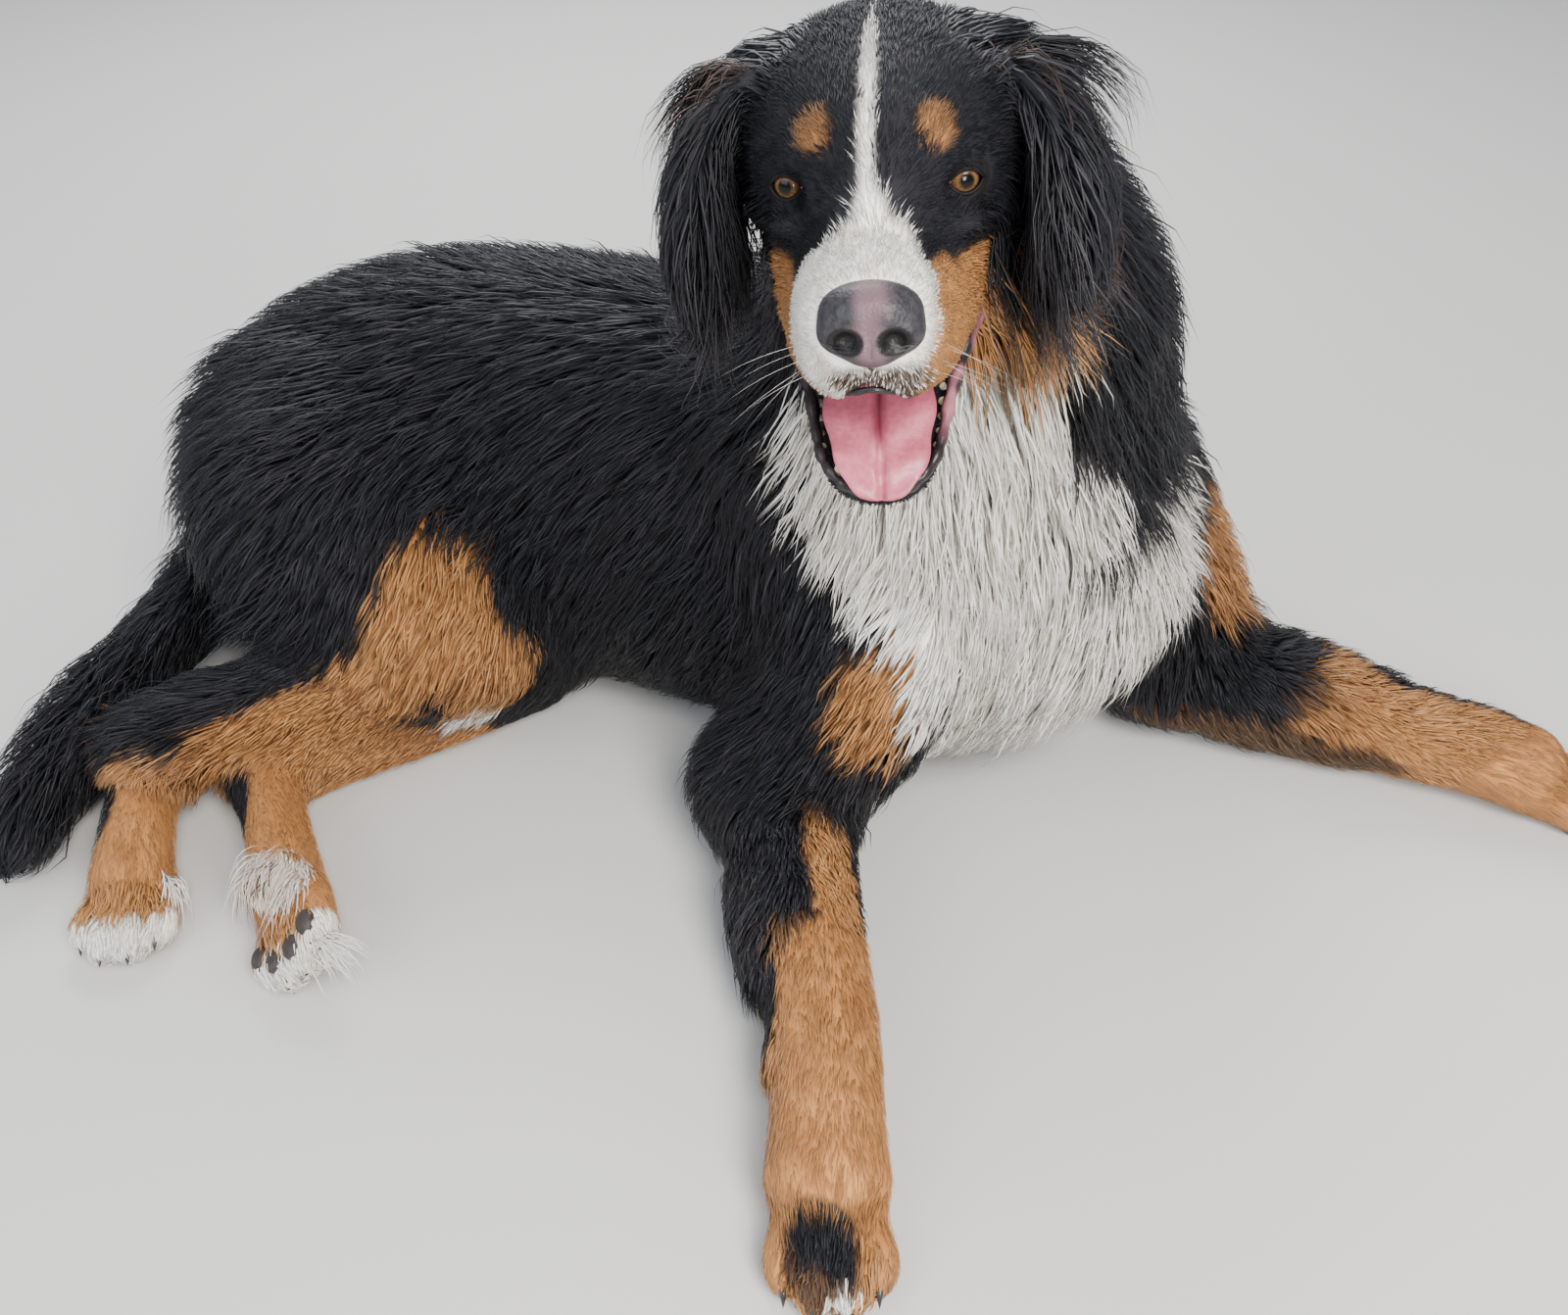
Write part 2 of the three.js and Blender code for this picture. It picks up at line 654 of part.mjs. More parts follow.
// Roots in rows over a rounded end, found by looking out from a place inside it
function rowsFrom(centre, { over, facing, turns, tilts, rows, around, under = [], coat, lie }) {
  const skin = sampled(over, coreShare);
  const covers = sampled(under, coreShare, creaseBlend);
  return staggered(rows, around).flatMap(([along, across]) => {
    const tilt = radians(lerp(tilts[0], tilts[1], along));
    const way = facing
      .clone()
      .applyAxisAngle(up, radians(lerp(turns[0], turns[1], across)))
      .multiplyScalar(Math.cos(tilt))
      .addScaledVector(up, Math.sin(tilt));
    const reach = castOut(skin, centre, way);
    const root = centre.clone().addScaledVector(way, reach);
    const stride = (reach * radians(Math.abs(tilts[1] - tilts[0]))) / rows;
    const spread = (reach * radians(turns[1] - turns[0])) / around;
    const depth = (1 - coreShare) * coat;
    return isBare(root, covers) ? [{ root, way: lie, depth, stride, spread }] : [];
  });
}
const down = vec(0, 0, -1);
const flowing = (along, fall, extra = vec(0, 0, 0)) => (s) =>
  s.along.clone().multiplyScalar(along).addScaledVector(down, fall).add(extra).normalize();

const named = [];
// Keeps a piece under its name: what it is joined from, what is cut out of it, and its looks
function keep(name, colour, roughness, pieces, cuts = []) {
  named.push({ name, colour, roughness, pieces, cuts });
}
const bothSides = [
  { word: "right", end: "Right", side: sides.right },
  { word: "left", end: "Left", side: sides.left },
];

for (const { word, side } of bothSides) {
  keep(`eye_${word}`, amber, 0.15, [ball(eyeCentre(side), [eyeRadius, eyeRadius, eyeRadius], headAxes, 10)]);
}

// The nose: a rounded pad with two nostrils, their outward slits and the groove between them
const noseSize = [28, 23, 18];
const nostrilSize = [7, 5.5, 14];
const slitSize = [7, 2.2, 12];
const nosePlace = inHead(111, 0, -37);
const nostrils = [-1, 1].flatMap((side) => [
  ball(inHead(127, side * 13, -42), nostrilSize, headAxes, 7)(0),
  ball(inHead(121, side * 22, -45), slitSize, headAxes, 6)(0),
]);
const philtrum = ball(inHead(127, 0, -55), [1.2, 13, 9], headAxes, 6)(0);
keep("nose", leather, 0.35, [ball(nosePlace, noseSize, headAxes, 10)], [...nostrils, philtrum]);

// The tongue, with its middle groove
const tongueGroove = ball(inJaw(55, 0, -64), [1.5, 5, 40], headAxes, 6)(0);
keep("tongue", pink, 0.3, [loft("tongue", { rings: 4, sides: 12, round: [1, 1.6] })], [tongueGroove]);

// The skull with the upper jaw: the palate is hollowed out and the lids stand round the eyes
const lidThickness = 2.5;
const palate = ball(inHead(30, 0, -78), [24, 18, 66], headAxes, 9)(0);
const lidSize = Array(3).fill(eyeRadius + lidThickness);
const lids = bothSides.map(({ side }) => ball(eyeCentre(side), lidSize, headAxes, 10));
const lidOpenings = bothSides.map(({ side }) => lidOpening(side));
keep("head", black, 0.7, [headWithOrbits, ...lids], [palate, ...lidOpenings]);

// The lower jaw, with the front teeth that stand beside the tongue
const toothReach = 8;
const toothRow = [44, 56, 68];
const teeth = bothSides.flatMap(({ side }) =>
  toothRow.map((a, i) => {
    const jawUp = inJaw(0, 0, 1).sub(inJaw(0, 0, 0));
    const reach = toothReach + (i === toothRow.length - 1 ? 3 : 0);
    return claw(inJaw(a, side * (33.5 - i * 1.2), -80), [leftwards, forwards, jawUp], reach, 0, 3);
  }),
);
keep("lower_jaw", leather, 0.6, [loft("jaw", { rings: 5, sides: 12 }), ...teeth]);

for (const { word, end, side } of bothSides) {
  const cup = ball(inHead(-66, side * 84, 10), [12, 24, 22], headAxes, 7)(0);
  const outerArc = side < 0 ? [150, 390] : [-30, 210];
  const roots = rowsOver(`ear${end}`, {
    from: 0.12,
    rows: 2,
    around: 3,
    arc: outerArc,
    under: headLengths,
    lie: flowing(1, 0.4),
  });
  const earLocks = locks(roots, { lap: 1.25, halfThickness: 3, wave: 0.15, sunk: 11 });
  const leaf = loft(`ear${end}`, { layer: 0.12, rings: 5, sides: 10 });
  keep(`ear_${word}`, black, 0.8, [leaf, ...earLocks], [cup]);
}

const neckRoots = rowsOver("neck", {
  from: 0.12,
  to: 0.9,
  rows: 5,
  around: 8,
  under: ["torso", "skull", "muzzle", "jaw", "shoulderRight", "shoulderLeft"],
  lie: flowing(-1, 0.25),
});
keep("neck", black, 0.85, [
  loft("neck", { rings: 6, sides: 16 }),
  ...locks(neckRoots),
]);

for (const { word, end } of bothSides) {
  const under = ["neck", "torso"];
  const shoulderRoots = rowsOver(`shoulder${end}`, {
    rows: 1,
    around: 4,
    under,
    lie: flowing(0.6, 0.6, vec(0, 0.5, 0)),
  });
  const armRoots = rowsOver(`arm${end}`, {
    rows: 2,
    around: 4,
    under: [...under, `fore${end}`],
    lie: flowing(0.6, 0.5, vec(0, 0.4, 0)),
  });
  keep(`upper_arm_${word}`, black, 0.85, [
    loft(`shoulder${end}`, { rings: 3, sides: 12 }),
    loft(`arm${end}`, { rings: 3, sides: 12 }),
    ...locks(shoulderRoots, { cover: 0.5, wave: 0 }),
    ...locks(armRoots, { cover: 0.55, wave: 0 }),
  ]);
}

// The trunk is parted in the middle. The bib hangs down the breast between the forelegs.
const midTorso = 0.5;
const midKeel = 0.4;
const forelegLengths = ["shoulderRight", "shoulderLeft", "armRight", "armLeft"];
const sideRoots = rowsOver("torso", {
  from: 0.2,
  to: midTorso,
  rows: 3,
  around: 7,
  under: ["neck", ...forelegLengths],
  lie: flowing(1, 0.35),
});
const breastRoots = rowsFrom(vec(100, -150, 225), {
  over: ["torso", "keel"],
  facing: vec(0, -1, 0),
  turns: [-60, 60],
  tilts: [25, -45],
  rows: 3,
  around: 3,
  under: ["neck", ...forelegLengths],
  coat: 45,
  lie: down,
});
keep("torso_front", black, 0.85, [
  loft("torso", { to: midTorso, rings: 5, sides: 20, round: [1, 0] }),
  loft("keel", { to: midKeel, rings: 2, sides: 14, round: [1, 0] }),
  ...locks(sideRoots),
  ...locks(breastRoots, { cover: 0.62, sunk: 20 }),
]);
const rearRoots = rowsOver("torso", {
  from: midTorso,
  rows: 4,
  around: 7,
  under: ["thighRight", "thighLeft", "tail"],
  lie: flowing(1, 0.35),
});
const rumpRoots = rowsFrom(vec(40, 480, 180), {
  over: ["torso", "thighRight", "thighLeft"],
  facing: vec(0, 1, 0),
  turns: [-55, 60],
  tilts: [35, -35],
  rows: 2,
  around: 4,
  under: ["tail"],
  coat: 42,
  lie: down,
});
keep("torso_rear", black, 0.85, [
  loft("torso", { from: midTorso, rings: 5, sides: 20, round: [0, 1] }),
  loft("keel", { from: midKeel, rings: 3, sides: 14, round: [0, 1] }),
  ...locks(rearRoots),
  ...locks(rumpRoots, { sunk: 20 }),
]);

for (const { word, end, side } of bothSides) {
  const thighRoots = rowsOver(`thigh${end}`, {
    from: 0.05,
    to: 0.9,
    rows: 3,
    around: 6,
    under: ["torso", "keel"],
    lie: flowing(0.3, 0.6, vec(0, 0.5, 0)),
  });
  keep(`thigh_${word}`, black, 0.85, [
    loft(`thigh${end}`, { rings: 4, sides: 14 }),
    ...locks(thighRoots),
  ]);
  // The feathering hangs from the back edge of the forearm
  const featherRoots = rowsOver(`fore${end}`, {
    from: 0.1,
    to: 0.62,
    rows: 3,
    around: 1,
    arc: side < 0 ? [-45, 15] : [165, 225],
    under: [`arm${end}`],
    lie: flowing(1, 0.2, vec(0, side < 0 ? 0.9 : 0, 0)),
  });
  keep(`forearm_${word}`, rust, 0.8, [
    loft(`fore${end}`, { to: 0.8, rings: 5, sides: 12, round: [1, 0] }),
    ...locks(featherRoots, { lap: 1.7, halfThickness: 3 }),
  ]);
  keep(`front_paw_${word}`, rust, 0.8, [
    loft(`fore${end}`, { from: 0.8, rings: 2, sides: 12, round: [0, 1] }),
    ...paw(paws[`front_paw_${word}`]),
  ]);
  keep(`shank_${word}`, rust, 0.8, [loft(`shank${end}`, { rings: 4, sides: 9 })]);
  keep(`hind_paw_${word}`, white, 0.8, paw(paws[`hind_paw_${word}`]));
  keep(`hock_${word}`, rust, 0.8, [loft(`hock${end}`, { rings: 2, sides: 9, round: [1, 0.5] })]);
}

const tailStart = rowsOver("tail", {
  from: 0.1,
  to: 0.5,
  rows: 2,
  around: 4,
  under: ["torso", "thighRight"],
  lie: flowing(1, 0.1),
});
keep("tail_base", black, 0.85, [
  loft("tail", { to: 0.5, rings: 4, sides: 10, round: [1, 0] }),
  ...locks(tailStart),
]);
const tailEnd = rowsOver("tail", { from: 0.52, to: 0.92, rows: 2, around: 3, lie: flowing(1, 0.1) });
keep("tail_tip", black, 0.85, [
  loft("tail", { from: 0.5, rings: 4, sides: 8, round: [0, 1] }),
  ...locks(tailEnd),
]);

// Each piece is joined, cut clear of those named before it, and stood on the floor
const dog = new THREE.Group();
const standing = [];
for (const { name, colour, roughness, pieces, cuts } of named) {
  let solid = join(pieces.map((piece) => piece(0)));
  for (const taken of [...standing, ...cuts, floorBlock]) solid = solid.subtract(taken);
  solid = largest(solid);
  standing.push(join(pieces.map((piece) => piece(gap))));
  const { vertProperties, triVerts } = solid.getMesh();
  const geometry = new THREE.BufferGeometry();
  geometry.setAttribute("position", new THREE.BufferAttribute(vertProperties, 3));
  geometry.setIndex(new THREE.BufferAttribute(triVerts, 1));
  const material = new THREE.MeshStandardMaterial({ color: colour, roughness, metalness: 0 });
  const mesh = new THREE.Mesh(geometry, material);
  mesh.name = name;
  dog.add(mesh);
}

// The origin is on the floor under the middle of the dog
const middle = new THREE.Box3().setFromObject(dog).getCenter(vec(0, 0, 0));
dog.position.set(-middle.x, -middle.y, 0);

export default dog;
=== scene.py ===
import math

import bpy
import numpy as np
from mathutils import Matrix, Vector


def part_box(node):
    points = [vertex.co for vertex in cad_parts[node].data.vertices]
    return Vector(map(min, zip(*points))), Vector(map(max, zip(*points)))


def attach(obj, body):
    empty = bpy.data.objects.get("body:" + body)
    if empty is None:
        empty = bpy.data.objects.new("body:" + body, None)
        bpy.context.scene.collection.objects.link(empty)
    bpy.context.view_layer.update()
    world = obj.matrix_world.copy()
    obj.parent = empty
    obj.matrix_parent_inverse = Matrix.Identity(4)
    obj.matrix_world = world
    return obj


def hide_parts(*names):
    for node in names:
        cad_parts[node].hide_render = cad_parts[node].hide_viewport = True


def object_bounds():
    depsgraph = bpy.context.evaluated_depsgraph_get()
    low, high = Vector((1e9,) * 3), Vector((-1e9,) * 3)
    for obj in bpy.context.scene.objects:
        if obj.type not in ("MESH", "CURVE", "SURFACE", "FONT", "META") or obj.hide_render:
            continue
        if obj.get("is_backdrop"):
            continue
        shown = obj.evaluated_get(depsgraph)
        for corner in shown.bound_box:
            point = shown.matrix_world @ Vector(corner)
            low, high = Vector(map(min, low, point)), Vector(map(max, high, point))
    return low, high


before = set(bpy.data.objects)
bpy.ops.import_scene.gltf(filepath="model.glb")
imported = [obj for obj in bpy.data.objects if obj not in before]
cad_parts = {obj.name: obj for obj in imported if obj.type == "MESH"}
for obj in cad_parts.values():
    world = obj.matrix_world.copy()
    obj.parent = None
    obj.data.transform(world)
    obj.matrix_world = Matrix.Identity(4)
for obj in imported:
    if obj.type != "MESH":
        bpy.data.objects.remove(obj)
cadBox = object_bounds()

# Sizes are in millimetres in the dog's own plan: trunk along Y, chest towards -Y, floor at z = 0.
# makeMesh scales them to metres and moves them to where the frame has the dog.
mm = 0.001
cameraPlace = (-898.8, -438.4, 950)


def unit(vector):
    vector = np.asarray(vector, float)
    return vector / (np.linalg.norm(vector, axis=-1, keepdims=True) + 1e-12)


def turned(vector, axis, degrees):
    turn = Matrix.Rotation(math.radians(degrees), 3, Vector(axis))
    return np.array(turn @ Vector(vector))


def smoothstep(low, high, value):
    share = np.clip((value - low) / (high - low), 0, 1)
    return share * share * (3 - 2 * share)


# Head frame: a forwards, b to the dog's left, c to the crown
headSettings = {"between eyes": (-171, -141, 640), "heading": (-0.937, -0.349), "pitch": 6, "roll": 4.2,
                "eye": (-6, 47, 1.5), "eye radius": 12, "gaze": 0.35,
                "jaw joint": (-75, -55), "jaw opening": 29}
upwards = np.array([0.0, 0.0, 1.0])
heading = unit([*headSettings["heading"], 0])
pitch = math.radians(headSettings["pitch"])
forwards = heading * math.cos(pitch) + upwards * math.sin(pitch)
leftwards = turned(unit([-forwards[1], forwards[0], 0]), forwards, headSettings["roll"])
crownwards = np.cross(forwards, leftwards)
headAxes = np.array([leftwards, crownwards, forwards])


def inHead(a, b, c):
    return np.array(headSettings["between eyes"]) + forwards * a + leftwards * b + crownwards * c


def inJaw(a, b, c):
    turn = math.radians(headSettings["jaw opening"])
    jointA, jointC = headSettings["jaw joint"]
    along, high = a - jointA, c - jointC
    return inHead(jointA + along * math.cos(turn) + high * math.sin(turn), b,
                  jointC - along * math.sin(turn) + high * math.cos(turn))


def eyeCentre(side):
    a, b, c = headSettings["eye"]
    return inHead(a, side * b, c)


def gazeOf(side):
    return unit(forwards + leftwards * side * headSettings["gaze"])


# The frame's eyes tell how far the dog was moved to stand over its origin
eyeBoxes = [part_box("eye_right"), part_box("eye_left")]
eyesMiddle = sum((np.array(low) + np.array(high) for low, high in eyeBoxes), np.zeros(3)) / 4 / mm
placeShift = eyesMiddle - (eyeCentre(-1) + eyeCentre(1)) / 2
placeShift[2] = 0
print("shift", np.round(placeShift, 3))


# The body plan: each length has the way its height leans, its blend with the others and its
# cross-sections, with centre, half width, half height and depth of coat
def headRow(a, b, c, width, height, coat=4):
    return (*inHead(a, b, c), width, height, coat)


def jawRow(a, b, c, width, height, coat=4):
    return (*inJaw(a, b, c), width, height, coat)


def flew(side):
    return [headRow(-10, side * 38, -62, 18, 32), headRow(40, side * 31, -70, 18, 28),
            headRow(82, side * 19, -68, 18, 22)]


def ear(side):
    return [headRow(-75, side * 75, 45, 30, 6, 15), headRow(-70, side * 98, 20, 46, 6, 20),
            headRow(-60, side * 110, -30, 50, 6, 22), headRow(-55, side * 108, -75, 30, 5, 22)]


bodyPlan = {
    "torso": (upwards, 30, [(100, -215, 235, 55, 70, 55), (100, -180, 225, 105, 120, 50),
                            (100, -100, 215, 138, 165, 40), (98, 20, 208, 152, 178, 30),
                            (95, 150, 205, 155, 180, 30), (88, 280, 204, 148, 176, 30),
                            (75, 390, 198, 141, 166, 32), (50, 475, 184, 122, 144, 34),
                            (28, 540, 162, 75, 95, 42)]),
    "keel": (upwards, 30, [(100, -150, 112, 70, 100, 12), (98, 20, 110, 118, 112, 12),
                           (90, 220, 110, 122, 112, 12), (70, 380, 104, 100, 106, 12),
                           (50, 450, 100, 70, 90, 12)]),
    "neck": ((-0.9, -0.44, 0), 50, [(115, -50, 270, 145, 140, 45), (95, -105, 370, 134, 122, 55),
                                    (45, -128, 470, 108, 105, 50), (-25, -120, 560, 82, 90, 38),
                                    (-60, -110, 610, 65, 70, 20)]),
    "shoulderRight": ((-1, 0, 0), 40, [(45, 0, 315, 50, 85, 20), (5, -70, 265, 60, 98, 20),
                                       (-30, -120, 212, 62, 88, 20)]),
    "armRight": ((-1, 0, 0), 40, [(-32, -124, 212, 62, 88, 20), (-72, -88, 140, 63, 80, 25),
                                  (-108, -46, 75, 50, 58, 30)]),
    "foreRight": (upwards, 20, [(-105, -40, 65, 45, 55, 25), (-160, -82, 60, 44, 48, 18),
                                (-240, -138, 52, 38, 41, 12), (-315, -187, 45, 38, 36, 8),
                                (-370, -215, 42, 38, 35, 6), (-415, -236, 36, 43, 33, 5)]),
    "shoulderLeft": ((1, 0, 0), 40, [(165, -50, 310, 55, 90, 30), (205, -130, 265, 65, 100, 32),
                                     (225, -200, 225, 68, 96, 35)]),
    "armLeft": ((1, 0, 0), 40, [(224, -200, 228, 68, 96, 35), (230, -265, 150, 62, 80, 35),
                                (215, -312, 85, 50, 58, 35)]),
    "foreLeft": (upwards, 20, [(205, -290, 70, 45, 55, 30), (210, -350, 65, 43, 47, 22),
                               (218, -440, 55, 38, 41, 14), (226, -530, 45, 38, 36, 8),
                               (232, -590, 42, 38, 35, 6), (237, -640, 36, 43, 33, 5)]),
    "thighRight": ((-1, 0, 0), 50, [(0, 485, 200, 105, 125, 30), (-50, 400, 190, 100, 140, 30),
                                    (-90, 330, 160, 82, 110, 25), (-120, 275, 130, 60, 75, 20)]),
    "shankRight": (upwards, 20, [(-115, 275, 130, 55, 65, 20), (-180, 350, 100, 50, 55, 15),
                                 (-260, 430, 70, 32, 38, 12), (-320, 485, 55, 25, 34, 10)]),
    "hockRight": (upwards, 15, [(-320, 485, 52, 25, 34, 10), (-360, 455, 45, 24, 30, 8),
                                (-418, 414, 32, 30, 27, 6)]),
    "thighLeft": (upwards, 30, [(60, 430, 110, 100, 100, 10), (20, 350, 90, 90, 85, 10),
                                (-40, 280, 60, 60, 55, 10)]),
    "shankLeft": (upwards, 20, [(-45, 262, 50, 50, 45, 10), (-120, 300, 45, 42, 40, 10),
                                (-210, 350, 40, 30, 35, 8), (-280, 390, 35, 26, 30, 8)]),
    "hockLeft": (upwards, 15, [(-280, 390, 35, 26, 30, 8), (-320, 340, 35, 24, 28, 6),
                               (-385, 266, 35, 28, 26, 6)]),
    "tail": (upwards, 20, [(25, 550, 165, 35, 40, 20), (-30, 590, 115, 30, 34, 30),
                           (-110, 600, 68, 22, 22, 44), (-210, 592, 58, 18, 18, 46),
                           (-310, 570, 52, 15, 15, 44), (-390, 547, 46, 12, 12, 40),
                           (-440, 527, 38, 8, 8, 30)]),
    "skull": (crownwards, 20, [headRow(-135, 0, 5, 55, 50, 20), headRow(-105, 0, 10, 74, 62, 15),
                               headRow(-60, 0, 8, 80, 66, 8), headRow(-22, 0, 2, 59, 58),
                               headRow(8, 0, -8, 39, 46)]),
    "muzzle": (crownwards, 12, [headRow(-20, 0, -38, 58, 44), headRow(20, 0, -44, 46, 36),
                                headRow(58, 0, -46, 42, 34), headRow(87, 0, -47, 38, 31)]),
    "flewRight": (crownwards, 12, flew(-1)),
    "flewLeft": (crownwards, 12, flew(1)),
    "jaw": (crownwards, 10, [jawRow(-70, 0, -62, 60, 30, 10), jawRow(-25, 0, -86, 50, 24, 8),
                             jawRow(30, 0, -91, 39, 19), jawRow(68, 0, -91, 34, 17),
                             jawRow(82, 0, -90, 27, 14)]),
    "earRight": (leftwards, 10, ear(-1)),
    "earLeft": (leftwards, 10, ear(1)),
}


def splineAt(points, share):
    points = np.asarray(points, float)
    last = len(points) - 1
    padded = np.vstack([2 * points[0] - points[1], points, 2 * points[-1] - points[-2]])
    place = np.clip(share, 0, 1) * last
    i = np.minimum(place.astype(int), last - 1)
    u = (place - i)[:, None]
    before, start, end, after = padded[i], padded[i + 1], padded[i + 2], padded[i + 3]
    leave, arrive = (end - before) / 2, (after - start) / 2
    return ((2 * u**3 - 3 * u**2 + 1) * start + (u**3 - 2 * u**2 + u) * leave
            + (3 * u**2 - 2 * u**3) * end + (u**3 - u**2) * arrive)


def sectionsOf(length, layer, steps=4):
    lean, _, rows = length
    share = np.linspace(0, 1, (len(rows) - 1) * steps + 1)
    values = splineAt(rows, share)
    centre = values[:, :3]
    reach = 1e-3
    along = unit(splineAt(rows, np.minimum(share + reach, 1))[:, :3]
                 - splineAt(rows, np.maximum(share - reach, 0))[:, :3])
    side = unit(np.cross(along, np.broadcast_to(lean, along.shape)))
    coat = values[:, 5]
    rings = {"centre": centre, "along": along, "side": side, "high": np.cross(side, along),
             "width": values[:, 3] + layer * coat, "height": values[:, 4] + layer * coat,
             "coat": coat, "share": share}
    return {key: value.astype(np.float32) for key, value in rings.items()}


def ellipsoidDistance(across, above, beyond, width, height, end):
    ratio = np.sqrt((across / width) ** 2 + (above / height) ** 2 + (beyond / end) ** 2)
    slope = np.sqrt((across / width**2) ** 2 + (above / height**2) ** 2 + (beyond / end**2) ** 2)
    return ratio * (ratio - 1) / (slope + 1e-9)


def towards(x, y, z, direction):
    return x * direction[0] + y * direction[1] + z * direction[2]


def stretchDistance(x, y, z, rings, i):
    start = rings["centre"][i]
    axis = rings["centre"][i + 1] - start
    x, y, z = x - start[0], y - start[1], z - start[2]
    reach = np.clip(towards(x, y, z, axis) / (axis @ axis), 0, 1)
    x, y, z = x - reach * axis[0], y - reach * axis[1], z - reach * axis[2]
    width = rings["width"][i] + reach * (rings["width"][i + 1] - rings["width"][i])
    height = rings["height"][i] + reach * (rings["height"][i + 1] - rings["height"][i])
    own = ellipsoidDistance(towards(x, y, z, rings["side"][i]), towards(x, y, z, rings["high"][i]),
                            towards(x, y, z, rings["along"][i]), width, height, np.minimum(width, height))
    return own, reach


def meet(a, b, blend):
    overlap = np.maximum(blend - np.abs(a - b), 0) / blend
    return np.minimum(a, b) - overlap * overlap * blend / 4


# A block of distances on a grid that is finer where the shape is finer
class Block:
    def __init__(self, low, high, zones=((), (), ()), coarse=5.0):
        self.axes = [self.spaced(low[k], high[k], zones[k], coarse) for k in range(3)]
        self.value = np.full([len(axis) for axis in self.axes], 1000, np.float32)

    @staticmethod
    def spaced(low, high, zones, coarse):
        places = [low]
        while places[-1] < high:
            steps = [step for start, end, step in zones if start <= places[-1] < end]
            places.append(places[-1] + min([coarse, *steps]))
        return np.array(places)

    def part(self, low, high):
        slices = tuple(slice(*np.searchsorted(axis, [low[k], high[k]])) for k, axis in enumerate(self.axes))
        x, y, z = (axis[s].astype(np.float32) for axis, s in zip(self.axes, slices))
        return slices, x[:, None, None], y[None, :, None], z[None, None, :]

    def addLength(self, length, layer, margin=70):
        rings = sectionsOf(length, layer)
        reach = np.maximum(rings["width"], rings["height"])[:, None] + margin
        low, high = rings["centre"] - reach, rings["centre"] + reach
        whole, *_ = self.part(low.min(0), high.max(0))
        own = np.full(self.value[whole].shape, 1000, np.float32)
        for i in range(len(rings["share"]) - 1):
            slices, x, y, z = self.part(np.minimum(low[i], low[i + 1]), np.maximum(high[i], high[i + 1]))
            within = tuple(slice(s.start - w.start, s.stop - w.start) for s, w in zip(slices, whole))
            own[within] = np.minimum(own[within], stretchDistance(x, y, z, rings, i)[0])
        self.value[whole] = meet(self.value[whole], own, length[1])

    def addBall(self, centre, sizes, axes=headAxes, blend=4.0, carve=False, margin=25):
        reach = max(sizes) + margin
        slices, x, y, z = self.part(centre - reach, centre + reach)
        x, y, z = x - centre[0], y - centre[1], z - centre[2]
        axes = np.asarray(axes, np.float32)
        own = ellipsoidDistance(*(towards(x, y, z, axis) for axis in axes), *sizes)
        self.apply(slices, own, blend, carve)

    def apply(self, slices, own, blend, carve):
        now = self.value[slices]
        self.value[slices] = -meet(-now, own, blend) if carve else meet(now, own, blend)

    def at(self, points):
        low, share = [], []
        for k, axis in enumerate(self.axes):
            i = np.clip(np.searchsorted(axis, points[:, k]) - 1, 0, len(axis) - 2)
            low.append(i)
            share.append(np.clip((points[:, k] - axis[i]) / (axis[i + 1] - axis[i]), 0, 1))
        total = np.zeros(len(points))
        for corner in range(8):
            step = [(corner >> k) & 1 for k in range(3)]
            weight = np.prod([share[k] if step[k] else 1 - share[k] for k in range(3)], axis=0)
            total += weight * self.value[low[0] + step[0], low[1] + step[1], low[2] + step[2]]
        return total

    def outwards(self, points, step=3.0):
        slope = []
        for axis in np.eye(3) * step:
            slope.append(self.at(points + axis) - self.at(points - axis))
        return unit(np.stack(slope, axis=1))

    # Surface nets: one corner in each cell that the surface crosses, one quad round each crossed edge
    def surface(self):
        inside = self.value < 0
        shape = [n - 1 for n in self.value.shape]
        count = np.zeros(shape, np.uint8)
        for corner in range(8):
            step = [(corner >> k) & 1 for k in range(3)]
            count += inside[tuple(slice(s, s + n) for s, n in zip(step, shape))]
        cells = np.flatnonzero((count > 0) & (count < 8))
        cell = np.stack(np.unravel_index(cells, shape), axis=1)
        total = np.zeros((len(cells), 3))
        crossings = np.zeros(len(cells))
        for k in range(3):
            others = [n for n in range(3) if n != k]
            for turn in range(4):
                start = cell.copy()
                start[:, others[0]] += turn & 1
                start[:, others[1]] += turn >> 1
                end = start.copy()
                end[:, k] += 1
                near, far = self.value[tuple(start.T)], self.value[tuple(end.T)]
                crossed = (near < 0) != (far < 0)
                share = np.where(crossed, near / np.where(crossed, near - far, 1), 0)
                place = np.stack([self.axes[n][start[:, n]] for n in range(3)], axis=1).astype(float)
                place[:, k] += share * (self.axes[k][end[:, k]] - self.axes[k][start[:, k]])
                total += place * crossed[:, None]
                crossings += crossed
        corners = total / crossings[:, None]
        faces = []
        for k in range(3):
            one, two = (k + 1) % 3, (k + 2) % 3
            first = [slice(None)] * 3
            second = [slice(None)] * 3
            first[k], second[k] = slice(0, -1), slice(1, None)
            crossed = inside[tuple(first)] != inside[tuple(second)]
            edge = np.stack(np.nonzero(crossed), axis=1)
            edge = edge[(edge[:, one] > 0) & (edge[:, two] > 0)
                        & (edge[:, one] < shape[one]) & (edge[:, two] < shape[two])]
            leaving = inside[tuple(edge.T)]
            ring = []
            for stepOne, stepTwo in ((-1, -1), (0, -1), (0, 0), (-1, 0)):
                at = edge.copy()
                at[:, one] += stepOne
                at[:, two] += stepTwo
                ring.append(np.searchsorted(cells, np.ravel_multi_index(tuple(at.T), shape)))
            quads = np.stack(ring, axis=1)
            faces.append(np.where(leaving[:, None], quads, quads[:, ::-1]))
        return corners, np.concatenate(faces)


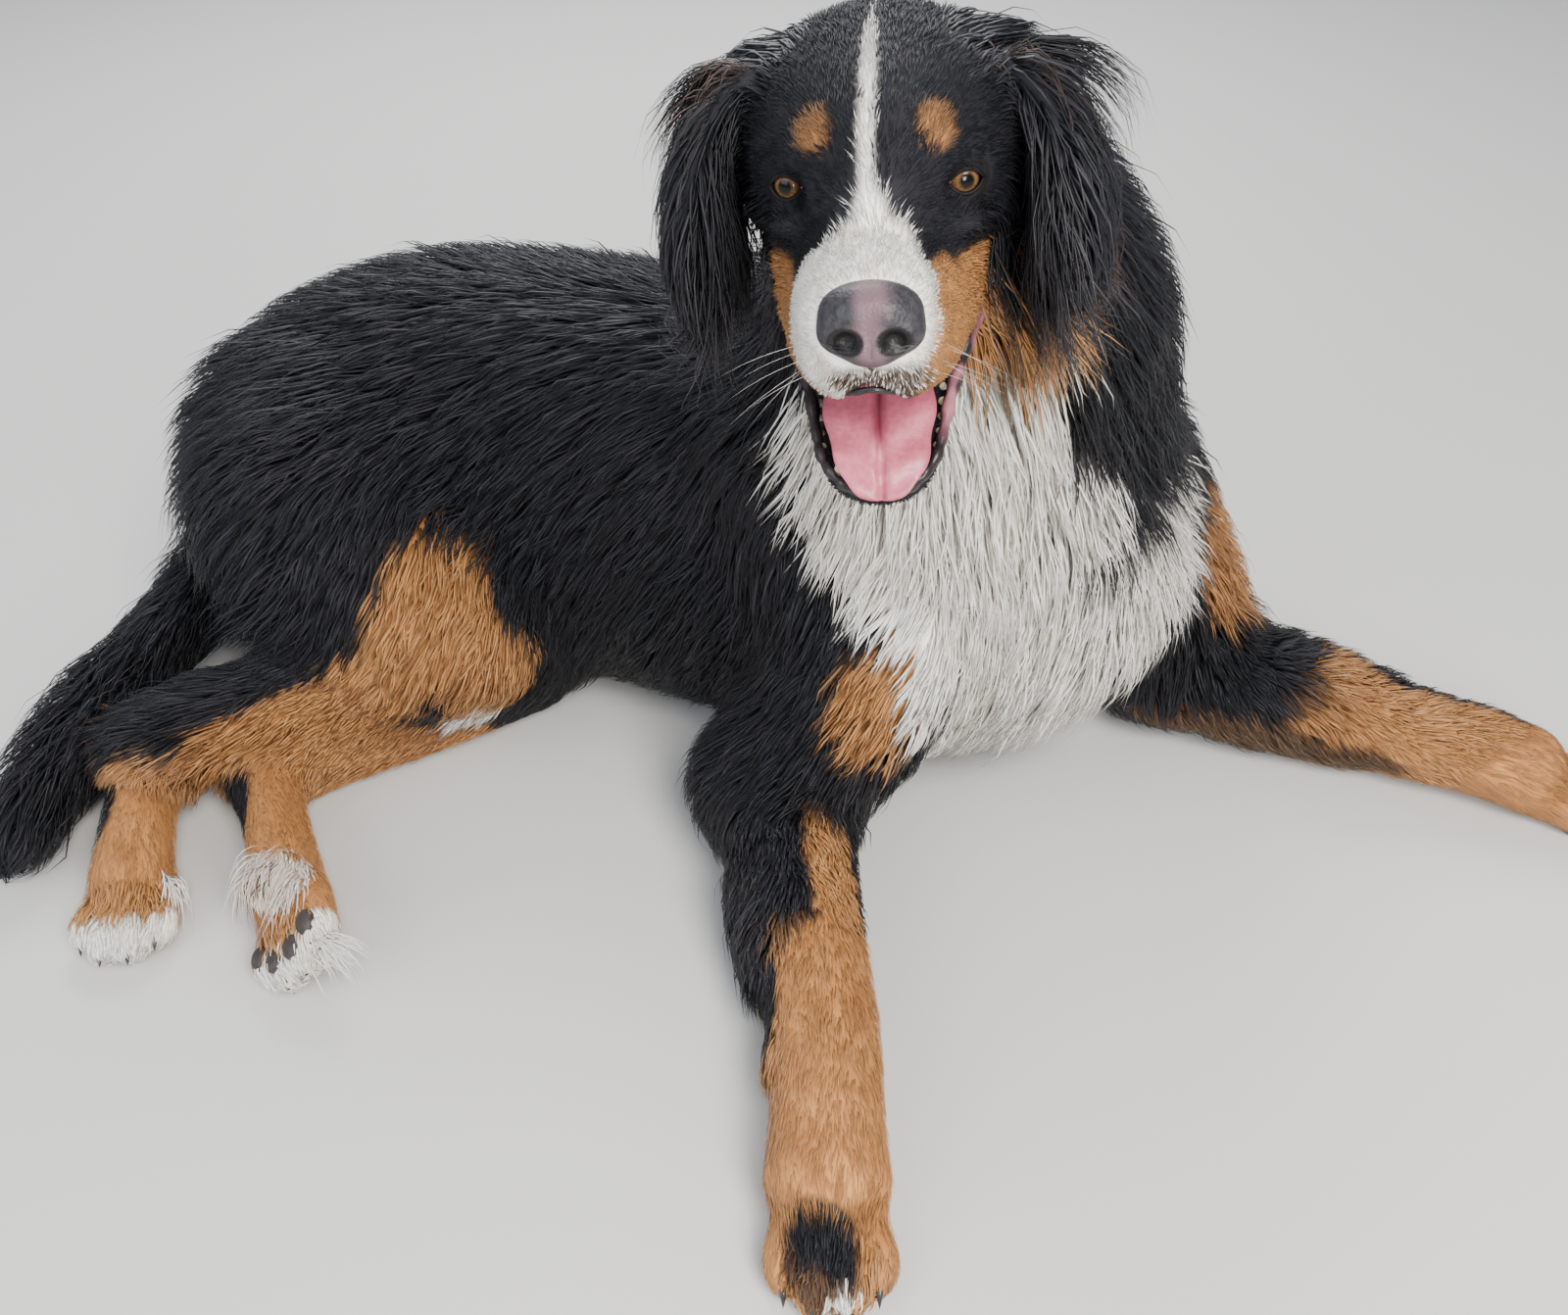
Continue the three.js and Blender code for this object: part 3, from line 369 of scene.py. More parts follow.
# Meshes and materials
def makeMesh(name, corners, faces, smooth=True):
    corners = (np.asarray(corners, float) + placeShift) * mm
    mesh = bpy.data.meshes.new(name)
    faces = np.asarray(faces)
    mesh.vertices.add(len(corners))
    mesh.vertices.foreach_set("co", corners.astype(np.float32).ravel())
    if len(faces):
        size = faces.shape[1]
        mesh.loops.add(faces.size)
        mesh.loops.foreach_set("vertex_index", faces.ravel().astype(np.int32))
        mesh.polygons.add(len(faces))
        mesh.polygons.foreach_set("loop_start", np.arange(0, faces.size, size, dtype=np.int32))
        mesh.update(calc_edges=True)
        mesh.polygons.foreach_set("use_smooth", np.full(len(faces), smooth))
    mesh.validate()
    piece = bpy.data.objects.new(name, mesh)
    bpy.context.scene.collection.objects.link(piece)
    return piece


def setAttribute(mesh, name, values, kind="FLOAT"):
    field = {"FLOAT": "value", "FLOAT_VECTOR": "vector"}[kind]
    attribute = mesh.attributes.new(name, kind, "POINT")
    attribute.data.foreach_set(field, np.asarray(values, np.float32).ravel())


# Turns an object with live modifiers into a plain piece
def plainPiece(source, name):
    graph = bpy.context.evaluated_depsgraph_get()
    mesh = bpy.data.meshes.new_from_object(source.evaluated_get(graph))
    source.modifiers.clear()
    bpy.data.objects.remove(source)
    mesh.name = name
    piece = bpy.data.objects.new(name, mesh)
    bpy.context.scene.collection.objects.link(piece)
    return piece


# The places of a mesh's corners, back in the plan's millimetres
def plainPlaces(mesh):
    values = np.zeros(len(mesh.vertices) * 3, np.float32)
    mesh.vertices.foreach_get("co", values)
    return values.reshape(-1, 3) / mm - placeShift


def dress(piece, slot, material, *nodes):
    piece.data.materials.clear()
    piece.data.materials.append(material)
    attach(piece, "root")
    if nodes:
        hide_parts(*nodes)
    return piece


# The skin: all the flesh in one surface, at the foot of the coat
print("skin")
skinSettings = {"layer": 0.3, "floor": 2.5, "face step": 2.2, "limb step": 4.5, "step": 8.0,
                "low": (-520, -740, -9), "high": (320, 690, 735), "faces kept": 0.58,
                "bare": (0.009, 0.007, 0.0075), "roughness": 0.75, "gloss": 0.15, "grain": (900, 0.5, 0.0006)}
faceStep, limbStep = skinSettings["face step"], skinSettings["limb step"]
skinZones = (
    ((-300, -130, faceStep), (-520, -25, limbStep)),
    ((-245, -60, faceStep), (-740, -245, limbStep), (195, 500, limbStep)),
    ((0, 75, limbStep), (520, 700, faceStep), (700, 735, limbStep)),
)
block = Block(skinSettings["low"], skinSettings["high"], skinZones, skinSettings["step"])
for length in bodyPlan.values():
    block.addLength(length, skinSettings["layer"])

# Each paw has a palm and toes at places across and ahead of its centre, with claws and pads
pawSettings = {"palm": (40, 24, 42), "palm ahead": -8, "palm blend": 8,
               "toes": [(-32, 20), (-12, 34), (12, 34), (32, 20)],
               "toe": (14, 16, 25), "toe drop": -2, "toe blend": 5.0,
               "claw start": 17, "claw": 15, "claw thickness": 4.0, "toe pad": (10, 6.5, 12),
               "toe pad place": (0.95, -17, 4), "least height": 0.8,
               "heel pads": [((0, -19, -10), (21, 8, 15)), ((-13, -18, -18), (10, 7, 10)),
                             ((13, -18, -18), (10, 7, 10))],
               "claw finish": {"light": (0.030, 0.024, 0.022), "dark": (0.012, 0.010, 0.010),
                               "roughness": 0.3, "coat": 0.3, "grain": (500, 0.3, 0.0003)},
               "pad finish": {"light": (0.035, 0.025, 0.021), "dark": (0.018, 0.013, 0.012),
                              "roughness": 0.6, "coat": 0.1, "grain": (800, 0.6, 0.0006), "pebbled": True}}


def pawAt(centre, toeWay, scale, back=(0, 0, 1)):
    return {"centre": centre, "toeWay": toeWay, "scale": scale, "back": back}


paws = {
    "front_paw_right": pawAt((-440, -250, 21), (-0.9, -0.43, 0), 1),
    "front_paw_left": pawAt((241, -668, 21), (0.08, -1, 0), 1),
    "hind_paw_right": pawAt((-437, 400, 20), (-0.85, -0.52, 0), 0.92),
    "hind_paw_left": pawAt((-398, 250, 34), (-0.72, -0.66, -0.1), 0.92, (0.33, -0.5, -0.7)),
}


def pawFrame(paw):
    ahead = unit(paw["toeWay"])
    across = unit(np.cross(ahead, paw["back"]))
    return np.array([across, np.cross(across, ahead), ahead])


def pawPlace(paw, across, above, ahead):
    return np.array(paw["centre"]) + paw["scale"] * (np.array([across, above, ahead]) @ pawFrame(paw))


for paw in paws.values():
    palmSizes, toeSizes = (np.array(pawSettings[form]) * paw["scale"] for form in ("palm", "toe"))
    block.addBall(pawPlace(paw, 0, 0, pawSettings["palm ahead"]), palmSizes, pawFrame(paw),
                  pawSettings["palm blend"])
    for across, ahead in pawSettings["toes"]:
        block.addBall(pawPlace(paw, across, pawSettings["toe drop"], ahead), toeSizes, pawFrame(paw),
                      pawSettings["toe blend"])

# The face: sockets, lids and their openings, brows and cheeks, and the hollows of mouth, nose and upper lip
faceSettings = {"lid": 2.6, "opening": 10.9, "upper arc": 7.0, "lower arc": 7.2, "lid blend": 5,
                "socket": (18, 14, 16), "socket ahead": 25, "socket blend": 6,
                "swellings": [((4, 33, 21), (15, 6, 12)), ((8, 46, -19), (14, 5, 12))], "swelling blend": 10,
                "hollows": [((30, 0, -80), (25, 18, 66), 3), ((124, 0, -41), (24, 17, 12), 4),
                            ((120, 0, -66), (1.3, 14, 12), 3)],
                "hairless": [((111, 0, -41), (27, 22, 17)), ((30, 0, -84), (31, 26, 74))],
                "hairless lid": 4.2, "dark lid": (15.5, 18.5),
                "dark rims": [((30, 0, -84), (30, 25, 72), 0.96, 1.05),
                              ((111, 0, -42), (25, 20, 17), 0.9, 1.0)]}


def lidOpening(side):
    centre, gaze = eyeCentre(side), gazeOf(side)
    across = unit(np.cross(crownwards, gaze))
    above = np.cross(gaze, across)
    slices, x, y, z = block.part(centre - 30, centre + 30)
    x, y, z = x - centre[0], y - centre[1], z - centre[2]
    u, v, w = (towards(x, y, z, axis) for axis in (across, above, gaze))
    bow = np.maximum(1 - (u / faceSettings["opening"]) ** 2, -1)
    lens = np.maximum(v - faceSettings["upper arc"] * bow, -faceSettings["lower arc"] * bow - v)
    block.apply(slices, np.maximum(lens * 0.8, -w), 1.0, True)


for side in (-1, 1):
    block.addBall(eyeCentre(side) + gazeOf(side) * faceSettings["socket ahead"], faceSettings["socket"],
                  blend=faceSettings["socket blend"], carve=True)
    for (a, b, c), sizes in faceSettings["swellings"]:
        block.addBall(inHead(a, side * b, c), sizes, blend=faceSettings["swelling blend"])
    lid = headSettings["eye radius"] + faceSettings["lid"]
    block.addBall(eyeCentre(side), (lid, lid, lid), blend=faceSettings["lid blend"])
    lidOpening(side)
for place, sizes, blend in faceSettings["hollows"]:
    block.addBall(inHead(*place), sizes, blend=blend, carve=True)
block.value = np.maximum(block.value, (skinSettings["floor"] - block.axes[2]).astype(np.float32))
skinCorners, skinFaces = block.surface()
print("skin corners", len(skinCorners))


# Keeps the largest connected surface
def largestPart(corners, faces):
    label = np.arange(len(corners))
    while True:
        low = label[faces].min(1)
        new = label.copy()
        np.minimum.at(new, faces, np.repeat(low[:, None], faces.shape[1], axis=1))
        new = new[new]
        if (new == label).all():
            break
        label = new
    names, count = np.unique(label, return_counts=True)
    keep = label == names[count.argmax()]
    index = np.cumsum(keep) - 1
    return corners[keep], index[faces[keep[faces].all(1)]]


skinCorners, skinFaces = largestPart(skinCorners, skinFaces)
print("kept", len(skinCorners), len(skinFaces))


# How near each place is to each length of the body, and how far along that length it lies
def nearLengths(points, layer, margin=60):
    near = {}
    x, y, z = points.T.astype(np.float32)
    for name, length in bodyPlan.items():
        rings = sectionsOf(length, layer)
        distance = np.full(len(points), 1000, np.float32)
        share = np.zeros(len(points), np.float32)
        reach = np.maximum(rings["width"], rings["height"])[:, None] + margin
        low, high = rings["centre"] - reach, rings["centre"] + reach
        count = len(reach) - 1
        for i in range(count):
            bottom, top = np.minimum(low[i], low[i + 1]), np.maximum(high[i], high[i + 1])
            found = np.flatnonzero(((points > bottom) & (points < top)).all(1))
            own, along = stretchDistance(x[found], y[found], z[found], rings, i)
            better = own < distance[found]
            distance[found[better]] = own[better]
            share[found[better]] = (i + along[better]) / count
        near[name] = distance, share
    return near


# The markings: soft patches laid one over another, in the plan or in the head's frame
def headAt(a, b, c):
    return inHead(a, b, c), np.array([forwards, leftwards, crownwards])


def planAt(x, y, z):
    return np.array([x, y, z], float), np.eye(3)


def along(start, end):
    start, end = np.array(start, float), np.array(end, float)
    way = unit(end - start)
    side = unit(np.cross(way, upwards))
    return (start + end) / 2, np.array([way, side, np.cross(side, way)])


markSettings = {"fine edge": (6, 0.1), "coarse edge": (18, 0.08), "beside": 4, "length edge": 0.03,
                "length wave": 0.3, "paw ahead": 5, "paw": (60, 70), "toes": (12, 18), "toe wave": 12,
                "soft": 3.5, "wavy": 14}
# Each colour as its shares of white and rust over the black
patchColours = {"white": (1, 0), "rust": (0, 1), "black": (0, 0), "brown": (0, 0.16), "cream": (0.6, 1.0),
                "dusk": (0.14, 0.10), "brow": (0, 0.62)}
markings = [
    ("white", planAt(-45, -205, 345), (90, 105, 125)),
    ("white", planAt(-70, -199, 413), (110, 150, 150)),
    ("black", planAt(-90, 20, 440), (90, 70, 110)),
    ("black", planAt(28, -240, 464), (34, 42, 54)),
    ("black", planAt(40, -240, 528), (84, 60, 84)),
    ("black", planAt(-12, -232, 502), (34, 42, 58)),
    ("black", planAt(-42, -216, 558), (38, 42, 40)),
    ("black", planAt(-4, -236, 464), (24, 36, 42)),
    ("white", planAt(0, -225, 160), (95, 80, 140)),
    ("white", planAt(55, -275, 240), (60, 42, 76)),
    ("white", planAt(110, -285, 290), (52, 50, 74)),
    ("rust", planAt(228, -325, 212), (52, 62, 72)),
    ("rust", planAt(-116, -148, 222), (30, 36, 50)),
    ("white", planAt(-104, -184, 232), (22, 20, 50)),
    ("rust", headAt(12, 54, -78), (62, 32, 42)),
    ("rust", headAt(-8, 64, -65), (42, 26, 32)),
    ("rust", headAt(12, -54, -76), (58, 30, 42)),
    ("rust", planAt(-76, -200, 538), (36, 36, 42)),
    ("rust", planAt(-98, -190, 556), (36, 40, 42)),
    ("rust", planAt(-108, -88, 520), (30, 30, 40)),
    ("rust", headAt(62, 38, -63), (42, 24, 36)),
    ("rust", headAt(40, -52, -70), (40, 24, 34)),
    ("brow", headAt(17, 33, 33), (14, 11, 11)),
    ("brow", headAt(17, -32, 33), (14, 11, 11)),
    ("rust", headAt(76, 34, -60), (42, 22, 34)),
    ("white", headAt(92, -11, -42), (50, 45, 56)),
    ("white", headAt(68, 1, -14), (26, 23, 13)),
    ("white", headAt(48, -1, -2), (12, 8, 12)),
    ("white", headAt(14, -3, 44), (62, 3.4, 52)),
    ("rust", headAt(88, 46, -78), (46, 22, 30)),
    ("dusk", headAt(104, 5, -75), (20, 31, 15)),
    ("rust", headAt(78, -34, -88), (32, 15, 11)),
    # Painted shadow: a thin dark brown line between the cheek and the ear
    ("brown", along((-92, -198, 540), (-82, -192, 498)), (28, 8, 10)),
    ("rust", planAt(-128, 264, 198), (66, 50, 66)),
    ("rust", planAt(-140, 222, 135), (46, 42, 58)),
    ("rust", along((-120, 238, 190), (-290, 385, 62)), (130, 44, 44)),
    ("black", planAt(-78, 214, 196), (30, 34, 58)),
    ("black", along((-200, 385, 200), (-330, 500, 110)), (116, 66, 66)),
    ("black", along((-182, 316, 206), (-262, 402, 130)), (74, 30, 36)),
    ("black", along((-335, 490, 60), (-410, 447, 45)), (45, 22, 24)),
    ("black", along((-275, 405, 50), (-350, 362, 40)), (50, 20, 26)),
    ("cream", planAt(-376, 278, 62), (22, 22, 18)),
    ("white", planAt(-388, 374, 40), (15, 14, 16)),
    # Black fur at the front of the left thigh under the belly, which also stands in for the belly's shadow
    # there as painted shade
    ("black", planAt(-66, 222, 50), (62, 46, 50)),
    ("white", planAt(-158, 228, 70), (50, 26, 30)),
    ("rust", along((-150, -100, 102), (-258, -182, 84)), (78, 20, 24)),
    ("black", along((-225, -85, 60), (-345, -150, 50)), (70, 24, 30)),
    ("black", planAt(-458, -252, 44), (24, 32, 22)),
    ("brown", planAt(-476, -262, 34), (14, 26, 16)),
    ("white", planAt(-482, -276, 30), (14, 9, 18)),
    ("brown", along((150, -300, 60), (192, -520, 34)), (135, 26, 26)),
    ("black", along((236, -380, 90), (262, -620, 55)), (145, 26, 32)),
    ("brown", headAt(-60, 128, -50), (60, 24, 46)),
]
lengthColours = {"shankRight": (0.0, 1.0), "hockRight": (0.0, 1.0), "shankLeft": (0.0, 1.0),
                 "hockLeft": (0.0, 1.0), "foreRight": (0.42, 1.0), "foreLeft": (0.36, 1.0)}
toeColours = {"front_paw_right": 0.0, "front_paw_left": 0.0, "hind_paw_right": 1.0, "hind_paw_left": 1.0}


def wobble(points, scale, seed):
    draw = np.random.default_rng(seed)
    total = np.zeros(len(points))
    for _ in range(5):
        total += np.sin(points @ draw.normal(0, 1 / scale, 3) + draw.uniform(0, 6.28))
    return total / 5


def markedColours(points, near):
    white, rust = np.zeros(len(points)), np.zeros(len(points))
    nearest = np.min([distance for distance, _ in near.values()], axis=0)
    (fine, fineShare), (coarse, coarseShare) = markSettings["fine edge"], markSettings["coarse edge"]
    edge = wobble(points, fine, 3) * fineShare + wobble(points, coarse, 4) * coarseShare
    for name, (start, end) in lengthColours.items():
        distance, share = near[name]
        soft, wave = markSettings["length edge"], markSettings["length wave"]
        own = (distance < nearest + markSettings["beside"]) * smoothstep(start - soft, start + soft,
                                                                         share + edge * wave)
        rust = np.maximum(rust, own * (share <= end))
    for name, paw in paws.items():
        middle = pawPlace(paw, 0, 0, markSettings["paw ahead"])
        own = 1 - smoothstep(*markSettings["paw"], np.linalg.norm(points - middle, axis=1) / paw["scale"])
        rust = np.maximum(rust, own)
        ahead = (points - np.array(paw["centre"])) @ pawFrame(paw)[2] + edge * markSettings["toe wave"]
        toe = own * smoothstep(*markSettings["toes"], ahead) * toeColours[name]
        white, rust = np.maximum(white, toe), rust * (1 - toe)
    for colour, (centre, axes), sizes in markings:
        ratio = np.linalg.norm((points - centre) @ axes.T / sizes, axis=1)
        soft = markSettings["soft"] / min(sizes)
        patch = 1 - smoothstep(1 - soft, 1 + soft, ratio + edge * min(1, markSettings["wavy"] / min(sizes)))
        white = white * (1 - patch) + patch * patchColours[colour][0]
        rust = rust * (1 - patch) + patch * patchColours[colour][1]
    return white, rust


# The lie of the coat on each length: along it and down, the hair's length, spacing and puff, and a turn
def lie(along, fall, hair, spacing, puff, extra=(0, 0, 0)):
    return {"along": along, "fall": fall, "hair": hair, "spacing": spacing, "puff": puff, "extra": extra}


coatPlan = {
    "torso": lie(0.55, 0.75, 74, 5.2, 1.35),
    "keel": lie(1, 0.3, 60, 6.4, 1.2),
    "neck": lie(-1, 0.3, 88, 4.9, 1.5),
    "shoulderRight": lie(0.6, 0.6, 60, 4.9, 1.3, (0, 0.5, 0)),
    "shoulderLeft": lie(0.6, 0.6, 60, 5, 1.4, (0, 0.5, 0)),
    "armRight": lie(0.6, 0.5, 50, 4.6, 1.2, (0, 0.4, 0)),
    "armLeft": lie(0.6, 0.5, 50, 4.8, 1.2, (0, 0.4, 0)),
    "foreRight": lie(1, 0.1, 20, 2.7, 0.9),
    "foreLeft": lie(1, 0.1, 20, 3.0, 0.9),
    "thighRight": lie(0.3, 0.6, 62, 5.0, 1.3, (0, 0.5, 0)),
    "thighLeft": lie(0.3, 0.6, 45, 6.0, 1, (0, 0.5, 0)),
    "shankRight": lie(1, 0.1, 26, 3.1, 1),
    "shankLeft": lie(1, 0.1, 22, 3.1, 1),
    "hockRight": lie(1, 0.1, 16, 2.6, 1),
    "hockLeft": lie(1, 0.1, 16, 2.6, 1),
    "tail": lie(1, 0.15, 76, 4.6, 1.1),
    "skull": lie(-1, 0.1, 12, 2.0, 0.8),
    "muzzle": lie(-1, 0.1, 6.5, 1.45, 0.7),
    "flewRight": lie(-1, 0.5, 8, 1.6, 0.8),
    "flewLeft": lie(-1, 0.5, 8, 1.6, 0.8),
    "jaw": lie(-1, 0.6, 12, 2.2, 1),
    "earRight": lie(1, 0.5, 70, 3.4, 1.4, (-0.15, 0.4, 0)),
    "earLeft": lie(1, 0.4, 80, 3.4, 2.3, (0.25, -0.75, 0)),
}
# Places where the hair is longer, stands further out, waves more or turns another way, with their reach
brushes = [
    ((-245, -80, 50), 74, {"hair": 2.8, "puff": 4.0, "spacing": 1.1}, (-0.3, 0.8, -0.2)),
    ((-60, 470, 260), 120, {"hair": 1.35, "puff": 2.3}, (-0.5, 0.5, -0.6)),
    ((-126, 532, 200), 70, {"hair": 1.3, "puff": 2.0}, (-0.5, 0.2, -0.8)),
    ((-150, 600, 60), 90, {"puff": 0.45, "hair": 0.8}, (-0.2, 0, -0.4)),
    ((-150, 515, 110), 60, {"hair": 1.4, "puff": 2.2}, (-0.6, -0.5, -0.3)),
    ((0, -250, 330), 170, {"pull": 0.45, "spacing": 0.92}, (0, 0, 0)),
    ((-200, 430, 200), 90, {"hair": 1.5, "puff": 2.4}, (-0.4, 0.5, -0.5)),
    ((-285, 460, 108), 90, {"hair": 2.6, "puff": 4.5}, (-0.3, 0.7, -0.2)),
    ((252, -430, 80), 80, {"hair": 1.8, "puff": 3.0}, (0.5, 0, 0.2)),
    ((258, -540, 65), 80, {"hair": 1.7, "puff": 2.6}, (0.5, 0, 0.2)),
    ((175, -420, 40), 90, {"hair": 1.7, "puff": 2.0}, (-0.5, 0, -0.3)),
    ((-345, -148, 50), 26, {"hair": 2.0, "puff": 3.0}, (-0.2, 1.0, 0)),
    ((-120, -20, 80), 70, {"hair": 1.3, "puff": 1.6}, (-0.3, 0.6, -0.2)),
    ((-376, 280, 62), 30, {"hair": 1.8, "puff": 2.5, "wave": 2}, (-0.3, 0.4, 0)),
    ((-390, 374, 40), 18, {"hair": 2.4, "puff": 3.0}, (-0.3, -0.6, 0)),
    ((-452, 392, 24), 46, {"hair": 1.7, "puff": 1.8}, (0, 0, 0)),
    ((-425, 232, 34), 50, {"hair": 1.9, "puff": 2.2}, (0, 0, 0)),
    ((-470, -268, 30), 36, {"hair": 1.5, "puff": 1.6}, (0, 0, 0)),
    (inHead(-70, -66, 62), 30, {"hair": 1.7, "puff": 2.6, "wave": 1.5}, (-0.2, 0.3, 0.7)),
    (inHead(-76, 62, 62), 34, {"hair": 1.4, "puff": 2.4, "wave": 1.5}, (0.2, -0.2, 0.5)),
    ((-118, -246, 580), 58, {"hair": 0.45, "puff": 0.8}, (0.3, -0.9, 0.1)),
    ((-76, -200, 536), 46, {"hair": 0.7}, (0, 0, -0.3)),
    (inHead(-70, -62, 60), 34, {"spacing": 0.75, "hair": 2.8, "puff": 1.5}, (-0.4, 1.1, 0)),
    (inHead(-70, 62, 60), 34, {"spacing": 0.75, "hair": 2.8, "puff": 1.8}, (0.4, -1.1, 0.1)),
    (inHead(15, 0, 30), 80, {"puff": 0.5}, (0, 0, 0)),
    (inHead(17, 33, 33), 24, {"spacing": 0.66, "hair": 0.8, "puff": 2.0}, (0, 0, 0)),
    (inHead(17, -32, 33), 24, {"spacing": 0.66, "hair": 0.8, "puff": 2.0}, (0, 0, 0)),
    (inHead(-20, -66, -54), 60, {"hair": 2.0, "depth": 4.5, "spacing": 1.3}, (0, 0, -0.2)),
    (inHead(-20, 66, -54), 60, {"hair": 2.0, "depth": 4.5, "spacing": 1.3}, (0, 0, -0.2)),
    (inHead(-64, -80, -22), 44, {"hair": 2.2, "depth": 2.4, "spacing": 1.3}, (0, 0, -0.4)),
    (inHead(-64, 80, -22), 44, {"hair": 2.2, "depth": 2.4, "spacing": 1.3}, (0, 0, -0.4)),
]
coatSettings = {"spread": 8, "short hair": 20, "sunk": 1.5, "rise": (0.5, 0.9, 0.8), "droop": 0.15,
                "clump": 12, "pull": 0.65, "big clump": 36, "big pull": 0.28, "wave": 0.09, "lowest": 1.2,
                "longest": 100, "reach": 0.3, "least rise": 1.1, "loose": 0.05, "loose puff": 1.5, "seed": 11,
                "far side": 0.5, "past the edge": 60, "fine middle": (-40, 0, -60), "fine reach": 190,
                "bare below": 5, "mixed": (0.05, 0.5, 2.2), "patch": 0.002,
                "hair range": (0.75, 1.2), "depth range": (0.4, 1.0), "clump turn": 0.16, "own turn": 0.1,
                "sway": (1, -1, 0.4), "pulled": (12, 40), "bend pull": 0.4, "stretch": 1.1,
                "long": {"segments": 3, "half width": 1.9, "thickness": 0.28, "limit": 12000},
                "fine": {"segments": 4, "half width": 1.5, "thickness": 0.28, "limit": 8500},
                "short": {"segments": 2, "half width": 0.5, "thickness": 0.5, "limit": 19000},
                "long finish": {"roughness": 0.5, "gloss": 0.24, "relief": 0.45},
                "short finish": {"roughness": 0.6, "gloss": 0.2, "relief": 0.3}}


# A row of each ring's values, at a share along the length
def atShare(rings, key, share):
    return np.stack([np.interp(share, rings["share"], rings[key][:, k]) for k in range(3)], axis=1)


def coatAt(points, near):
    nearest = np.min([distance for distance, _ in near.values()], axis=0)
    total = np.zeros(len(points))
    values = {"way": np.zeros((len(points), 3)), "depth": 0.0, "hair": 0.0, "spacing": 0.0, "puff": 0.0}
    for name, plan in coatPlan.items():
        distance, share = near[name]
        weight = np.exp(-(distance - nearest) / coatSettings["spread"])
        rings = sectionsOf(bodyPlan[name], 0)
        axis = atShare(rings, "along", share)
        way = axis * plan["along"] + np.array(plan["extra"]) - upwards * plan["fall"]
        depth = np.interp(share, rings["share"], rings["coat"])
        total += weight
        values["way"] += weight[:, None] * way
        values["depth"] = values["depth"] + weight * depth
        for key in ("hair", "spacing", "puff"):
            values[key] = values[key] + weight * plan[key]
    for key in ("depth", "hair", "spacing", "puff"):
        values[key] = values[key] / total
    values["way"] = unit(values["way"])
    values["wave"] = np.ones(len(points))
    values["pull"] = np.ones(len(points))
    for centre, reach, factors, extra in brushes:
        weight = 1 - smoothstep(0.5, 1, np.linalg.norm(points - centre, axis=1) / reach)
        for key, factor in factors.items():
            values[key] = values[key] * (1 + (factor - 1) * weight)
        values["way"] += weight[:, None] * np.array(extra)
    values["hair"] = np.minimum(values["hair"], coatSettings["longest"])
    return values


# An unwrap of the skin: each length of the body has its own oblong, turn across and share along it
def unwrapPlaces(points, near):
    names = list(bodyPlan)
    nearest = np.argmin([near[name][0] for name in names], axis=0)
    columns = math.ceil(math.sqrt(len(names)))
    place = np.zeros((len(points), 3))
    for i, name in enumerate(names):
        found = np.flatnonzero(nearest == i)
        rings = sectionsOf(bodyPlan[name], 0)
        share = near[name][1][found]
        values = {key: atShare(rings, key, share) for key in ("centre", "side", "high")}
        offset = points[found] - values["centre"]
        turn = np.arctan2((offset * values["high"]).sum(1), (offset * values["side"]).sum(1))
        place[found, 0] = (i % columns + 0.03 + 0.92 * (turn / (2 * math.pi) + 0.5)) / columns
        place[found, 1] = (i // columns + 0.03 + 0.92 * share) / columns
    return place


# Roots of the coat, spread over the skin's faces by their area and spacing
print("coat roots")
draw = np.random.default_rng(coatSettings["seed"])
skinTriangles = np.concatenate([skinFaces[:, [0, 1, 2]], skinFaces[:, [0, 2, 3]]])
edges = skinCorners[skinTriangles]
across = np.cross(edges[:, 1] - edges[:, 0], edges[:, 2] - edges[:, 0])
faceArea = np.linalg.norm(across, axis=1) / 2
faceOut = unit(across)
faceMiddle = edges.mean(1)
faceNear = nearLengths(faceMiddle, skinSettings["layer"])
faceCoat = coatAt(faceMiddle, faceNear)


# How far from a middle in the head, as a share of the half sizes there
def ratioTo(points, middle, sizes):
    return np.linalg.norm((points - inHead(*middle)) @ headAxes.T / sizes, axis=1)


def bareShare(points, out):
    bare = (points[:, 2] < coatSettings["bare below"]) & (out[:, 2] < -0.5)
    lid = headSettings["eye radius"] + faceSettings["hairless lid"]
    for side in (-1, 1):
        bare |= np.linalg.norm(points - eyeCentre(side), axis=1) < lid
    for middle, sizes in faceSettings["hairless"]:
        bare |= ratioTo(points, middle, sizes) < 1
    return bare


crowding = faceArea / faceCoat["spacing"] ** 2 * ~bareShare(faceMiddle, faceOut)
frontSide = ((np.array(cameraPlace) - faceMiddle) * faceOut).sum(1) > -coatSettings["past the edge"]
crowding *= np.where(frontSide, 1, coatSettings["far side"])
rootCount = int(crowding.sum())
print("roots", rootCount)
chosen = draw.choice(len(faceArea), rootCount, p=crowding / crowding.sum())
u, v = draw.random(rootCount), draw.random(rootCount)
over = u + v > 1
u[over], v[over] = 1 - u[over], 1 - v[over]
picked = edges[chosen]
roots = picked[:, 0] + u[:, None] * (picked[:, 1] - picked[:, 0]) + v[:, None] * (picked[:, 2] - picked[:, 0])
rootNear = {name: (distance[chosen], share[chosen]) for name, (distance, share) in faceNear.items()}
rootCoat = {key: value[chosen] for key, value in faceCoat.items()}
rootWhite, rootRust = markedColours(roots, rootNear)
leastMixed, mostMixed, paleness = coatSettings["mixed"]
mixedRoots = (rootWhite > leastMixed) & (rootWhite < mostMixed)
rootWhite[mixedRoots] = draw.random(mixedRoots.sum()) < rootWhite[mixedRoots] * paleness
frontRoots = frontSide[chosen]
rootAtlas = unwrapPlaces(roots, rootNear)


